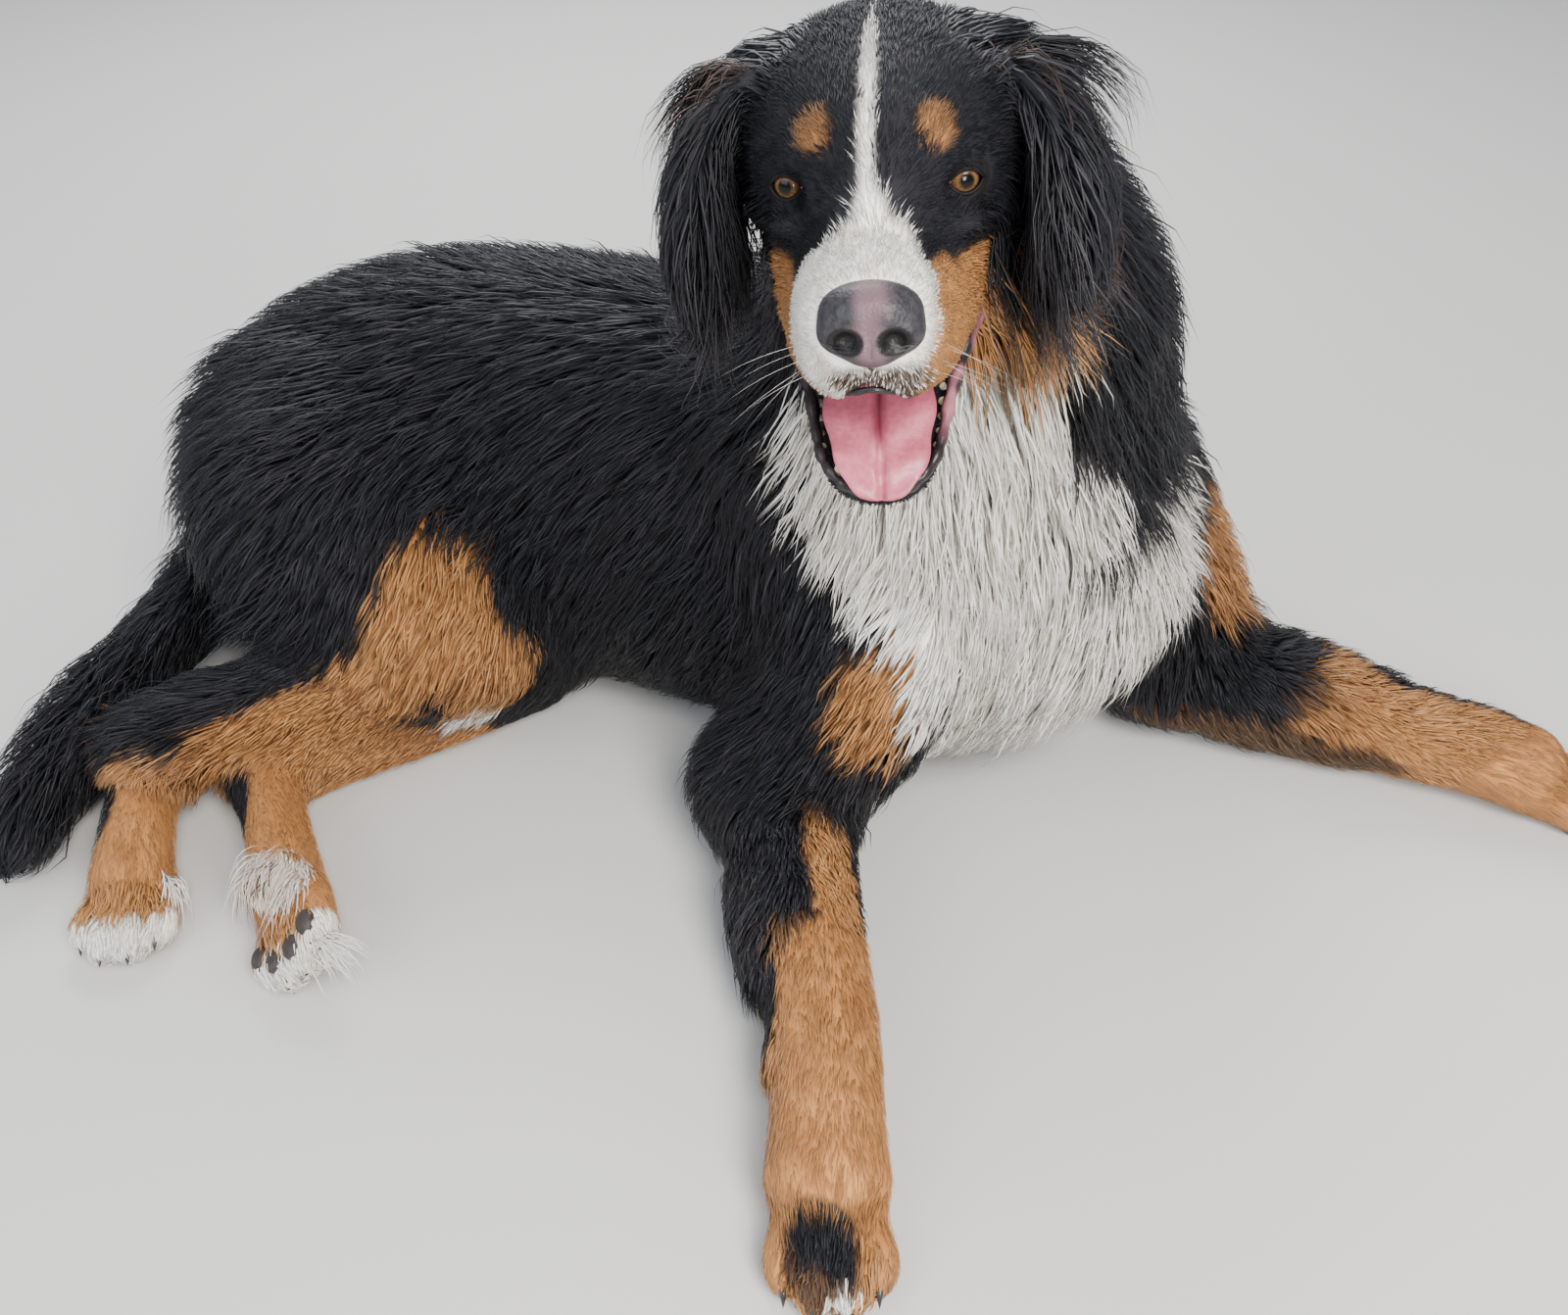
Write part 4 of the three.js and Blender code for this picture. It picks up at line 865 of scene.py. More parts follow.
# Each tuft follows the skin in three steps, at its own height over it, and draws to its clump's tip
def lifted(points, height):
    for _ in range(2):
        points = points + block.outwards(points) * (height - block.at(points))[:, None]
    points[:, 2] = np.maximum(points[:, 2], coatSettings["lowest"])
    return points


def flat(ways, out):
    return unit(ways - (ways * out).sum(1, keepdims=True) * out)


def clumpOf(points, size):
    cell = np.floor(points / size + wobble(points, size * 3, 21)[:, None] * 0.4).astype(np.int64)
    key = cell @ np.array([73856093, 19349663, 83492791])
    return np.unique(key, return_inverse=True)[1]


def tuftPaths(roots, coat):
    count = len(roots)
    out = block.outwards(roots)
    start = roots - out * coatSettings["sunk"]
    hair = coat["hair"] * draw.uniform(*coatSettings["hair range"], count)
    clump = clumpOf(roots, coatSettings["clump"])
    clumps = clump.max() + 1
    turn = draw.normal(0, coatSettings["clump turn"], clumps)[clump]
    turn = turn + draw.normal(0, coatSettings["own turn"], count)
    way = flat(coat["way"], out)
    side = np.cross(out, way)
    way = unit(way * np.cos(turn)[:, None] + side * np.sin(turn)[:, None])
    level = (1 - skinSettings["layer"]) * coat["depth"] * coat["puff"]
    level = level * draw.uniform(*coatSettings["depth range"], count)
    level[draw.random(count) < coatSettings["loose"]] *= coatSettings["loose puff"]
    level = np.maximum(level, coatSettings["least rise"])
    wave = coatSettings["wave"] * coat["wave"] * draw.normal(0, 1, clumps)[clump] * hair
    places, heading = [], way
    place = roots
    for i, rise in enumerate(coatSettings["rise"]):
        place = lifted(place + heading * hair[:, None] / 3, level * rise)
        outNow = block.outwards(place)
        heading = flat(heading - upwards * coatSettings["droop"], outNow)
        sway = wave * coatSettings["sway"][i]
        places.append(place + np.cross(outNow, heading) * sway[:, None])
    for group, strength in ((clump, "pull"), (clumpOf(roots, coatSettings["big clump"]), "big pull")):
        weight = np.bincount(group)
        middle = np.stack([np.bincount(group, places[2][:, k]) / weight for k in range(3)], axis=1)[group]
        pull = coatSettings[strength] * smoothstep(*coatSettings["pulled"], hair)[:, None]
        pull = pull * draw.uniform(0.5, 1, (count, 1))
        shift = (middle - places[2]) * pull * coat["pull"][:, None]
        far = np.linalg.norm(shift, axis=1) / (coatSettings["reach"] * hair)
        shift = shift / np.maximum(far, 1)[:, None]
        places[2] = places[2] + shift
        places[1] = places[1] + shift * coatSettings["bend pull"]
    for i, place in enumerate(places):
        offset = place - roots
        stretch = np.linalg.norm(offset, axis=1) / (hair * (i + 1) / 3 * coatSettings["stretch"])
        places[i] = roots + offset / np.maximum(stretch, 1)[:, None]
        places[i][:, 2] = np.maximum(places[i][:, 2], coatSettings["lowest"])
    side = np.cross(out, way)
    return {"root": start, "bendA": places[0], "bendB": places[1], "tip": places[2], "side": side, "out": out}


# A tree of nodes that sets one tapered tuft on each root and bends it through the root's own places
def nodeAt(tree, kind, **values):
    node = tree.nodes.new(kind)
    for key, value in values.items():
        setattr(node, key, value)
    return node


def namedValue(tree, name, kind="FLOAT_VECTOR"):
    node = nodeAt(tree, "GeometryNodeInputNamedAttribute", data_type=kind)
    node.inputs["Name"].default_value = name
    return node.outputs["Attribute"]


def stored(tree, geometry, name, value, kind="FLOAT_VECTOR", domain="POINT"):
    node = nodeAt(tree, "GeometryNodeStoreNamedAttribute", data_type=kind, domain=domain)
    node.inputs["Name"].default_value = name
    tree.links.new(geometry, node.inputs["Geometry"])
    tree.links.new(value, node.inputs["Value"])
    return node.outputs[0]


def vectorMath(tree, operation, first, second=None, scale=None):
    node = nodeAt(tree, "ShaderNodeVectorMath", operation=operation)
    tree.links.new(first, node.inputs[0])
    if second is not None:
        tree.links.new(second, node.inputs[1])
    if scale is not None:
        tree.links.new(scale, node.inputs["Scale"])
    return node.outputs["Vector"]


def combined(tree, **axes):
    node = nodeAt(tree, "ShaderNodeCombineXYZ")
    for name, value in axes.items():
        tree.links.new(value, node.inputs[name])
    return node.outputs[0]


def separated(tree, value):
    node = nodeAt(tree, "ShaderNodeSeparateXYZ")
    tree.links.new(value, node.inputs[0])
    return node.outputs


def multiplied(tree, first, second):
    node = nodeAt(tree, "ShaderNodeMath", operation="MULTIPLY")
    for socket, value in zip(node.inputs, (first, second)):
        if isinstance(value, float):
            socket.default_value = value
        else:
            tree.links.new(value, socket)
    return node.outputs[0]


def mixed(tree, share, first, second):
    node = nodeAt(tree, "ShaderNodeMix", data_type="VECTOR")
    tree.links.new(share, node.inputs["Factor"])
    sockets = [socket for socket in node.inputs if socket.type == "VECTOR" and socket.name in "AB"]
    tree.links.new(first, sockets[0])
    tree.links.new(second, sockets[1])
    return next(socket for socket in node.outputs if socket.type == "VECTOR")


def addSockets(tree, way, **kinds):
    for name, kind in kinds.items():
        tree.interface.new_socket(name, in_out=way, socket_type="NodeSocket" + kind)


tuftSettings = {"profile": ((0.0, 0.6), (0.33, 1.2), (0.66, 1.4), (1.0, 1.0)),
                "cone": {"Vertices": 3, "Fill Segments": 1, "Radius Top": 0.0, "Radius Bottom": 1.0,
                         "Depth": 1.0}}
pathNames = ("root", "bendA", "bendB", "tip")
spentNames = (*pathNames, "side", "out", "wide", "atlas", "own")


# The width along a tuft, as half of the profile's values, because a curve ends at 1
def tuftProfile(tree, along):
    node = nodeAt(tree, "ShaderNodeFloatCurve")
    points = node.mapping.curves[0].points
    for place, value in tuftSettings["profile"]:
        if place in (0.0, 1.0):
            points[int(place)].location = (place, value / 2)
        else:
            points.new(place, value / 2)
    node.mapping.update()
    tree.links.new(along, node.inputs["Value"])
    return node.outputs[0]


def buildTuftTree():
    tree = bpy.data.node_groups.new("tufts along the lie", "GeometryNodeTree")
    addSockets(tree, "INPUT", Geometry="Geometry", Segments="Int", Thickness="Float", Patch="Float",
               Material="Material")
    addSockets(tree, "OUTPUT", Geometry="Geometry")
    given = nodeAt(tree, "NodeGroupInput").outputs
    cone = nodeAt(tree, "GeometryNodeMeshCone", fill_type="NGON")
    for name, value in tuftSettings["cone"].items():
        cone.inputs[name].default_value = value
    tree.links.new(given["Segments"], cone.inputs["Side Segments"])
    own = stored(tree, cone.outputs["Mesh"], "own", nodeAt(tree, "GeometryNodeInputPosition").outputs[0])
    spread = nodeAt(tree, "GeometryNodeInstanceOnPoints")
    tree.links.new(given["Geometry"], spread.inputs["Points"])
    tree.links.new(own, spread.inputs["Instance"])
    realize = nodeAt(tree, "GeometryNodeRealizeInstances")
    tree.links.new(spread.outputs[0], realize.inputs[0])
    parts = separated(tree, namedValue(tree, "own"))
    along = parts["Z"]
    rows = [namedValue(tree, name) for name in pathNames]
    while len(rows) > 1:
        rows = [mixed(tree, along, first, second) for first, second in zip(rows, rows[1:])]
    halfWidth = multiplied(tree, tuftProfile(tree, along), namedValue(tree, "wide", "FLOAT"))
    width = multiplied(tree, halfWidth, 2.0)
    sideways = multiplied(tree, parts["X"], width)
    raised = multiplied(tree, parts["Y"], multiplied(tree, width, given["Thickness"]))
    place = rows[0]
    for way, reach in (("side", sideways), ("out", raised)):
        offset = vectorMath(tree, "SCALE", namedValue(tree, way), scale=reach)
        place = vectorMath(tree, "ADD", place, offset)
    setPlace = nodeAt(tree, "GeometryNodeSetPosition")
    tree.links.new(realize.outputs[0], setPlace.inputs["Geometry"])
    tree.links.new(place, setPlace.inputs["Position"])
    patch = separated(tree, vectorMath(tree, "SCALE", namedValue(tree, "own"), scale=given["Patch"]))
    patchPlace = combined(tree, X=patch["X"], Y=patch["Z"])
    atlas = vectorMath(tree, "ADD", namedValue(tree, "atlas"), patchPlace)
    shape = stored(tree, setPlace.outputs[0], "OFBake", atlas, "FLOAT2", "CORNER")
    shape = stored(tree, shape, "along", along, "FLOAT")
    strand = combined(tree, X=parts["X"], Y=along, Z=namedValue(tree, "tint", "FLOAT"))
    shape = stored(tree, shape, "strand", strand)
    smooth = nodeAt(tree, "GeometryNodeSetShadeSmooth")
    tree.links.new(shape, smooth.inputs["Geometry"])
    paint = nodeAt(tree, "GeometryNodeSetMaterial")
    tree.links.new(smooth.outputs[0], paint.inputs["Geometry"])
    tree.links.new(given["Material"], paint.inputs["Material"])
    tree.links.new(paint.outputs[0], nodeAt(tree, "NodeGroupOutput").inputs[0])
    return tree


tuftTree = buildTuftTree()


def growTufts(name, paths, values, segments, material, slotName, thickness):
    seeds = makeMesh(name + " roots", paths["root"], [])
    mesh = seeds.data
    for key in pathNames:
        setAttribute(mesh, key, (paths[key] + placeShift) * mm, "FLOAT_VECTOR")
    for key in ("side", "out"):
        setAttribute(mesh, key, paths[key], "FLOAT_VECTOR")
    setAttribute(mesh, "atlas", values["atlas"], "FLOAT_VECTOR")
    setAttribute(mesh, "wide", values["wide"] * mm)
    for key in ("white", "rust", "tint"):
        setAttribute(mesh, key, values[key])
    modifier = seeds.modifiers.new("tufts", "NODES")
    modifier.node_group = tuftTree
    inputs = {"Segments": segments, "Thickness": thickness, "Patch": coatSettings["patch"],
              "Material": material}
    for socket in tuftTree.interface.items_tree:
        if socket.in_out == "INPUT" and socket.name in inputs:
            modifier[socket.identifier] = inputs[socket.name]
    piece = plainPiece(seeds, name)
    for key in spentNames:
        if key in piece.data.attributes:
            piece.data.attributes.remove(piece.data.attributes[key])
    return dress(piece, slotName, material)


# Colours of the coat, from its markings and a tint for each tuft, with painted shade that darkens each tuft
# towards its root, where the coat shades itself
coatColours = {"black": {"deep": (0.006, 0.0065, 0.009), "pale": (0.020, 0.0195, 0.024), "root shade": 0.35},
               "rust": {"deep": (0.36, 0.145, 0.045), "pale": (0.60, 0.28, 0.095), "root shade": 0.32},
               "white": {"deep": (0.88, 0.82, 0.70), "pale": (0.97, 0.95, 0.90), "root shade": 0.1}}
rootShade = {"colour": (0.10, 0.07, 0.05), "reach": 0.6}
strandSettings = {"stretch": (7.0, 0.8, 90), "shade": (0.42, 0.38, 0.34), "between": (0.3, 0.55),
                  "depth": 0.6, "on white": 0.3, "bump": 0.0005, "glow": 0.3, "glow reach": (1.0, 0.8, 0.6),
                  "glow depth": 0.006}


def newMaterial(name):
    material = bpy.data.materials.new(name)
    material.use_nodes = True
    tree = material.node_tree
    return material, tree, tree.nodes["Principled BSDF"]


def blendColour(tree, share, first, second, blend="MIX"):
    node = nodeAt(tree, "ShaderNodeMix", data_type="RGBA", blend_type=blend)
    sockets = [socket for socket in node.inputs if socket.type == "RGBA"]
    for socket, value in zip(sockets, (first, second)):
        if isinstance(value, tuple):
            socket.default_value = (*value, 1)
        else:
            tree.links.new(value, socket)
    tree.links.new(share, node.inputs["Factor"])
    return next(socket for socket in node.outputs if socket.type == "RGBA")


def mapped(tree, value, low, high, start, end):
    node = nodeAt(tree, "ShaderNodeMapRange")
    tree.links.new(value, node.inputs["Value"])
    for name, number in (("From Min", low), ("From Max", high), ("To Min", start), ("To Max", end)):
        node.inputs[name].default_value = number
    return node.outputs[0]


def attributeOf(tree, name, output="Fac"):
    return nodeAt(tree, "ShaderNodeAttribute", attribute_name=name).outputs[output]


def objectPlace(tree):
    return nodeAt(tree, "ShaderNodeTexCoord").outputs["Object"]


def noiseOf(tree, scale, place, detail=2.0):
    node = nodeAt(tree, "ShaderNodeTexNoise")
    node.inputs["Scale"].default_value = scale
    node.inputs["Detail"].default_value = detail
    tree.links.new(place, node.inputs["Vector"])
    return node.outputs[0]


def addBump(tree, shader, height, strength, distance):
    bump = nodeAt(tree, "ShaderNodeBump")
    bump.inputs["Strength"].default_value = strength
    bump.inputs["Distance"].default_value = distance
    tree.links.new(height, bump.inputs["Height"])
    tree.links.new(bump.outputs[0], shader.inputs["Normal"])


def setShader(shader, **values):
    for name, value in values.items():
        shader.inputs[name.replace("_", " ")].default_value = value


def buildCoatGroup():
    tree = bpy.data.node_groups.new("coat colour", "ShaderNodeTree")
    addSockets(tree, "INPUT", White="Float", Rust="Float", Tint="Float", Along="Float")
    addSockets(tree, "OUTPUT", Color="Color")
    given = nodeAt(tree, "NodeGroupInput").outputs
    rootShadedColours = {}
    for key, colour in coatColours.items():
        plain = blendColour(tree, given["Tint"], colour["deep"], colour["pale"])
        # Painted shade: each colour is darkened towards the tuft's root
        deep = mapped(tree, given["Along"], 0.0, rootShade["reach"], colour["root shade"], 0.0)
        rootShadedColours[key] = blendColour(tree, deep, plain, rootShade["colour"], "MULTIPLY")
    colour = blendColour(tree, given["Rust"], rootShadedColours["black"], rootShadedColours["rust"])
    colour = blendColour(tree, given["White"], colour, rootShadedColours["white"])
    tree.links.new(colour, nodeAt(tree, "NodeGroupOutput").inputs["Color"])
    return tree


coatGroup = buildCoatGroup()


def coatNode(tree, **plain):
    group = nodeAt(tree, "ShaderNodeGroup", node_tree=coatGroup)
    for name in ("White", "Rust", "Tint", "Along"):
        if name in plain:
            group.inputs[name].default_value = plain[name]
        else:
            tree.links.new(attributeOf(tree, name.lower()), group.inputs[name])
    return group.outputs["Color"]


# Fine strands run along each tuft, with painted shade darkening the gaps between them, less on white hair,
# and a bump along the same streaks
def coatMaterial(name, roughness, gloss, relief):
    material, tree, shader = newMaterial(name)
    stretch = nodeAt(tree, "ShaderNodeVectorMath", operation="MULTIPLY")
    stretch.inputs[1].default_value = strandSettings["stretch"]
    tree.links.new(attributeOf(tree, "strand", "Vector"), stretch.inputs[0])
    strands = noiseOf(tree, 1.0, stretch.outputs[0], 1.0)
    # Painted shade in the gaps between the strands
    dark = mapped(tree, strands, *strandSettings["between"], strandSettings["depth"], 0.0)
    onWhite = mapped(tree, attributeOf(tree, "white"), 0.0, 1.0, 1.0, strandSettings["on white"])
    dark = multiplied(tree, dark, onWhite)
    colour = blendColour(tree, dark, coatNode(tree), strandSettings["shade"], "MULTIPLY")
    tree.links.new(colour, shader.inputs["Base Color"])
    addBump(tree, shader, strands, relief, strandSettings["bump"])
    setShader(shader, Roughness=roughness, Specular_IOR_Level=gloss, Subsurface_Weight=strandSettings["glow"],
              Subsurface_Radius=strandSettings["glow reach"], Subsurface_Scale=strandSettings["glow depth"])
    return material


def skinMaterial():
    material, tree, shader = newMaterial("short hair on the skin")
    # The skin under the coat takes the coat's colours with part of the painted root shade, and its own dark
    # colour where bare
    colour = blendColour(tree, attributeOf(tree, "bare"), coatNode(tree, Along=0.35), skinSettings["bare"])
    tree.links.new(colour, shader.inputs["Base Color"])
    scale, strength, distance = skinSettings["grain"]
    addBump(tree, shader, noiseOf(tree, scale, objectPlace(tree), 3), strength, distance)
    setShader(shader, Roughness=skinSettings["roughness"], Specular_IOR_Level=skinSettings["gloss"])
    return material


print("skin mesh")
rawSkin = makeMesh("raw skin", skinCorners, skinFaces)
thin = rawSkin.modifiers.new("thin", "DECIMATE")
thin.ratio = skinSettings["faces kept"]
skin = plainPiece(rawSkin, "skin")
places = plainPlaces(skin.data)
skinWhite, skinRust = markedColours(places, nearLengths(places, skinSettings["layer"]))
bareSkin = np.zeros(len(places))
for side in (-1, 1):
    away = np.linalg.norm(places - eyeCentre(side), axis=1)
    bareSkin = np.maximum(bareSkin, 1 - smoothstep(*faceSettings["dark lid"], away))
for middle, rimSizes, start, end in faceSettings["dark rims"]:
    bareSkin = np.maximum(bareSkin, 1 - smoothstep(start, end, ratioTo(places, middle, rimSizes)))
skinTint = 0.5 + 0.5 * wobble(places, 8, 31)
for key, values in (("white", skinWhite), ("rust", skinRust), ("tint", skinTint), ("bare", bareSkin)):
    setAttribute(skin.data, key, values)
fleshNodes = [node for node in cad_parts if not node.startswith(("eye", "nose", "tongue"))]
dress(skin, "coat_black", skinMaterial(), *fleshNodes)

print("coat")
coatFinish = coatMaterial("long coat", **coatSettings["long finish"])
shortFinish = coatMaterial("short coat", **coatSettings["short finish"])
rootPaths = tuftPaths(roots, rootCoat)
rootTint = np.clip(0.5 + 0.3 * wobble(roots, 25, 41) + draw.normal(0, 0.22, rootCount), 0, 1)
isLong = rootCoat["hair"] > coatSettings["short hair"]
headReach = (roots - inHead(*coatSettings["fine middle"])) / coatSettings["fine reach"]
isFine = isLong & frontRoots & (np.linalg.norm(headReach, axis=1) < 1)
colourOf = np.argmax(np.stack([1 - np.maximum(rootWhite, rootRust), rootRust, rootWhite]), axis=0)
for kind, kindRoots in (("long", isLong & ~isFine), ("fine", isFine), ("short", ~isLong)):
    settings = coatSettings[kind]
    for number, colour in enumerate(coatColours):
        found = np.flatnonzero(kindRoots & (colourOf == number))
        found = found[np.argsort(roots[found, 1])]
        pieces = max(math.ceil(len(found) / settings["limit"]), 1)
        for part, some in enumerate(np.array_split(found, pieces)):
            values = {"atlas": rootAtlas[some], "tint": rootTint[some], "white": rootWhite[some],
                      "rust": rootRust[some],
                      "wide": settings["half width"] * draw.uniform(0.7, 1.3, len(some))}
            growTufts(f"coat_{kind}_{colour}_{part + 1}", {key: rootPaths[key][some] for key in rootPaths},
                      values, settings["segments"], shortFinish if kind == "short" else coatFinish,
                      "coat_" + colour, settings["thickness"])
            print(kind, colour, part + 1, len(some))


# Closed forms swept through rings of places
def ringsAlong(centres, radii, lean=upwards, flatness=1.0, around=12, closed=False):
    centres = np.asarray(centres, float)
    if closed:
        way = unit(np.roll(centres, -1, axis=0) - np.roll(centres, 1, axis=0))
    else:
        way = unit(np.gradient(centres, axis=0))
    side = unit(np.cross(way, np.broadcast_to(lean, way.shape)))
    high = np.cross(side, way)
    turn = np.linspace(0, 2 * math.pi, around, endpoint=False)[:, None]
    radii = np.broadcast_to(radii, len(centres))[:, None, None]
    spread = np.cos(turn) * side[:, None] + flatness * np.sin(turn) * high[:, None]
    return centres[:, None] + radii * spread


def ballRings(centre, sizes, axes, rings=10, around=16):
    polar = np.linspace(0.05, math.pi - 0.05, rings)[:, None]
    turn = np.linspace(0, 2 * math.pi, around, endpoint=False)[None]
    local = np.stack([np.sin(polar) * np.cos(turn), np.sin(polar) * np.sin(turn),
                      np.cos(polar) * np.ones_like(turn)], axis=-1)
    return np.asarray(centre) + (local * sizes) @ np.asarray(axes)


def ringForm(rings, closed=False):
    rings = np.asarray(rings, float)
    count, around = rings.shape[:2]
    corners = rings.reshape(-1, 3)
    row = np.arange(count if closed else count - 1)[:, None] * around
    step = np.arange(around)
    beside = (step + 1) % around
    follow = (row + around) % (count * around)
    quads = np.stack([row + step, row + beside, follow + beside, follow + step], axis=-1).reshape(-1, 4)
    faces = np.concatenate([quads[:, [0, 1, 2]], quads[:, [0, 2, 3]]])
    if not closed:
        last = (count - 1) * around
        start = np.stack([np.full(around, len(corners)), beside, step], axis=1)
        end = np.stack([np.full(around, len(corners) + 1), last + step, last + beside], axis=1)
        corners = np.vstack([corners, rings[0].mean(0), rings[-1].mean(0)])
        faces = np.concatenate([faces, start, end])
    a, b, c = (corners[faces[:, k]] - corners.mean(0) for k in range(3))
    if (a * np.cross(b, c)).sum() < 0:
        faces = faces[:, ::-1]
    return corners, faces


def joined(forms):
    corners, faces, count = [], [], 0
    for some, own in forms:
        corners.append(some)
        faces.append(own + count)
        count += len(some)
    return np.vstack(corners), np.vstack(faces)


# Moist skin, horn and leather: two colours mottled, with a grain that is fine or pebbled, an optional marked
# colour and optional painted shade, used for the nostrils
wetSettings = {"mottle": (260, 0.35, 0.65), "coat roughness": 0.12}


def pebblesOf(tree, scale, place):
    node = nodeAt(tree, "ShaderNodeTexVoronoi")
    node.inputs["Scale"].default_value = scale
    tree.links.new(place, node.inputs["Vector"])
    return node.outputs[0]


def wetMaterial(name, light, dark, roughness, coat, grain, gloss=0.5, pebbled=False, marked=None,
                nostrilShade=None):
    material, tree, shader = newMaterial(name)
    place = objectPlace(tree)
    size, low, high = wetSettings["mottle"]
    mottle = mapped(tree, noiseOf(tree, size, place), low, high, 0.0, 1.0)
    colour = blendColour(tree, mottle, light, dark)
    for mask in (marked, nostrilShade):
        if mask:
            colour = blendColour(tree, attributeOf(tree, mask[0]), colour, mask[1])
    tree.links.new(colour, shader.inputs["Base Color"])
    scale, strength, distance = grain
    height = pebblesOf(tree, scale, place) if pebbled else noiseOf(tree, scale, place)
    addBump(tree, shader, height, strength, distance)
    setShader(shader, Roughness=roughness, Specular_IOR_Level=gloss, Coat_Weight=coat,
              Coat_Roughness=wetSettings["coat roughness"])
    return material


# The eyes: an amber-brown iris with a dark rim round the pupil, under a clear curve
print("eyes")
eyeSettings = {"bulge": 0.9, "bulge edge": 0.72, "rim": 1.15, "upper rim": 1.5,
               "rays": (7.0, 3.0, 0.3, 0.7, 0.55), "ray colour": (0.003, 0.0015, 0.001),
               "corner": (2.0, 1.6, 1.8), "corner place": (1.6, -0.6, 7.6),
               "shine": {"Roughness": 0.12, "IOR": 1.3, "Specular IOR Level": 0.35, "Coat Weight": 0.3,
                         "Coat Roughness": 0.02, "Coat IOR": 1.33},
               "lid finish": {"light": (0.005, 0.004, 0.0045), "dark": (0.009, 0.007, 0.007),
                              "roughness": 0.5, "coat": 0.0, "grain": (700, 0.3, 0.0002), "gloss": 0.12},
               "corner finish": {"light": (0.10, 0.045, 0.045), "dark": (0.05, 0.02, 0.022),
                                 "roughness": 0.2, "coat": 0.8, "grain": (900, 0.2, 0.0002)}}
irisStops = [(0.0, (0.002, 0.002, 0.002)), (0.27, (0.002, 0.002, 0.002)), (0.32, (0.06, 0.03, 0.014)),
             (0.44, (0.20, 0.108, 0.046)), (0.60, (0.14, 0.066, 0.028)), (0.72, (0.010, 0.006, 0.004)),
             (0.80, (0.012, 0.008, 0.007)), (0.92, (0.05, 0.033, 0.03)), (1.0, (0.08, 0.05, 0.045))]


def eyeMaterial():
    material, tree, shader = newMaterial("eye")
    own = attributeOf(tree, "own", "Vector")
    plane = nodeAt(tree, "ShaderNodeVectorMath", operation="MULTIPLY")
    plane.inputs[1].default_value = (1, 1, 0)
    tree.links.new(own, plane.inputs[0])
    reach = nodeAt(tree, "ShaderNodeVectorMath", operation="LENGTH")
    tree.links.new(plane.outputs[0], reach.inputs[0])
    ramp = nodeAt(tree, "ShaderNodeValToRGB")
    stops = ramp.color_ramp.elements
    for i, (place, colour) in enumerate(irisStops):
        stop = stops[i] if i < 2 else stops.new(place)
        stop.position, stop.color = place, (*colour, 1)
    tree.links.new(reach.outputs["Value"], ramp.inputs["Fac"])
    ray = nodeAt(tree, "ShaderNodeVectorMath", operation="NORMALIZE")
    tree.links.new(plane.outputs[0], ray.inputs[0])
    scale, detail, low, high, strength = eyeSettings["rays"]
    rays = mapped(tree, noiseOf(tree, scale, ray.outputs[0], detail), low, high, 0.0, strength)
    colour = blendColour(tree, rays, ramp.outputs["Color"], eyeSettings["ray colour"])
    tree.links.new(colour, shader.inputs["Base Color"])
    setShader(shader, **eyeSettings["shine"])
    return material


def eyeAxes(side):
    gaze = gazeOf(side)
    across = unit(np.cross(crownwards, gaze))
    return np.array([across, np.cross(gaze, across), gaze])


def makeEye(side, material, node):
    centre, axes = eyeCentre(side), eyeAxes(side)
    radius = headSettings["eye radius"]
    rings = ballRings(centre, (radius, radius, radius), axes, 44, 64)
    way = unit(rings - centre)
    bulge = eyeSettings["bulge"] * smoothstep(eyeSettings["bulge edge"], 1.0, way @ axes[2])
    rings = rings + way * bulge[..., None]
    piece = makeMesh(node.replace("eye", "eyeball"), *ringForm(rings))
    own = unit(plainPlaces(piece.data) - centre) @ axes.T
    setAttribute(piece.data, "own", own, "FLOAT_VECTOR")
    dress(piece, "eye", material, node)


def lidRim(side):
    turn = np.linspace(0, 2 * math.pi, 56, endpoint=False)
    across = (faceSettings["opening"] + 0.4) * np.cos(turn)
    upper = np.sin(turn) > 0
    arc = np.where(upper, faceSettings["upper arc"], -faceSettings["lower arc"]) * np.sin(turn) ** 2
    reach = headSettings["eye radius"] + 2.0
    ahead = np.sqrt(reach**2 - across**2 - arc**2)
    centres = eyeCentre(side) + np.stack([across, arc, ahead], axis=1) @ eyeAxes(side)
    radii = np.where(upper, eyeSettings["upper rim"], eyeSettings["rim"]) * (0.8 + 0.2 * np.abs(np.sin(turn)))
    return ringForm(ringsAlong(centres, radii, gazeOf(side), 1.0, 10, True), True)


def caruncle(side):
    inset, above, ahead = eyeSettings["corner place"]
    across = -side * (faceSettings["opening"] - inset)
    centre = eyeCentre(side) + np.array([across, above, ahead]) @ eyeAxes(side)
    return ringForm(ballRings(centre, eyeSettings["corner"], eyeAxes(side), 8, 10))


eyeFinish = eyeMaterial()
makeEye(-1, eyeFinish, "eye_right")
makeEye(1, eyeFinish, "eye_left")
dress(makeMesh("eyelid_rims", *joined([lidRim(-1), lidRim(1)])), "lips",
      wetMaterial("lids", **eyeSettings["lid finish"]))
dress(makeMesh("eye_corners", *joined([caruncle(-1), caruncle(1)])), "lips",
      wetMaterial("eye corners", **eyeSettings["corner finish"]))

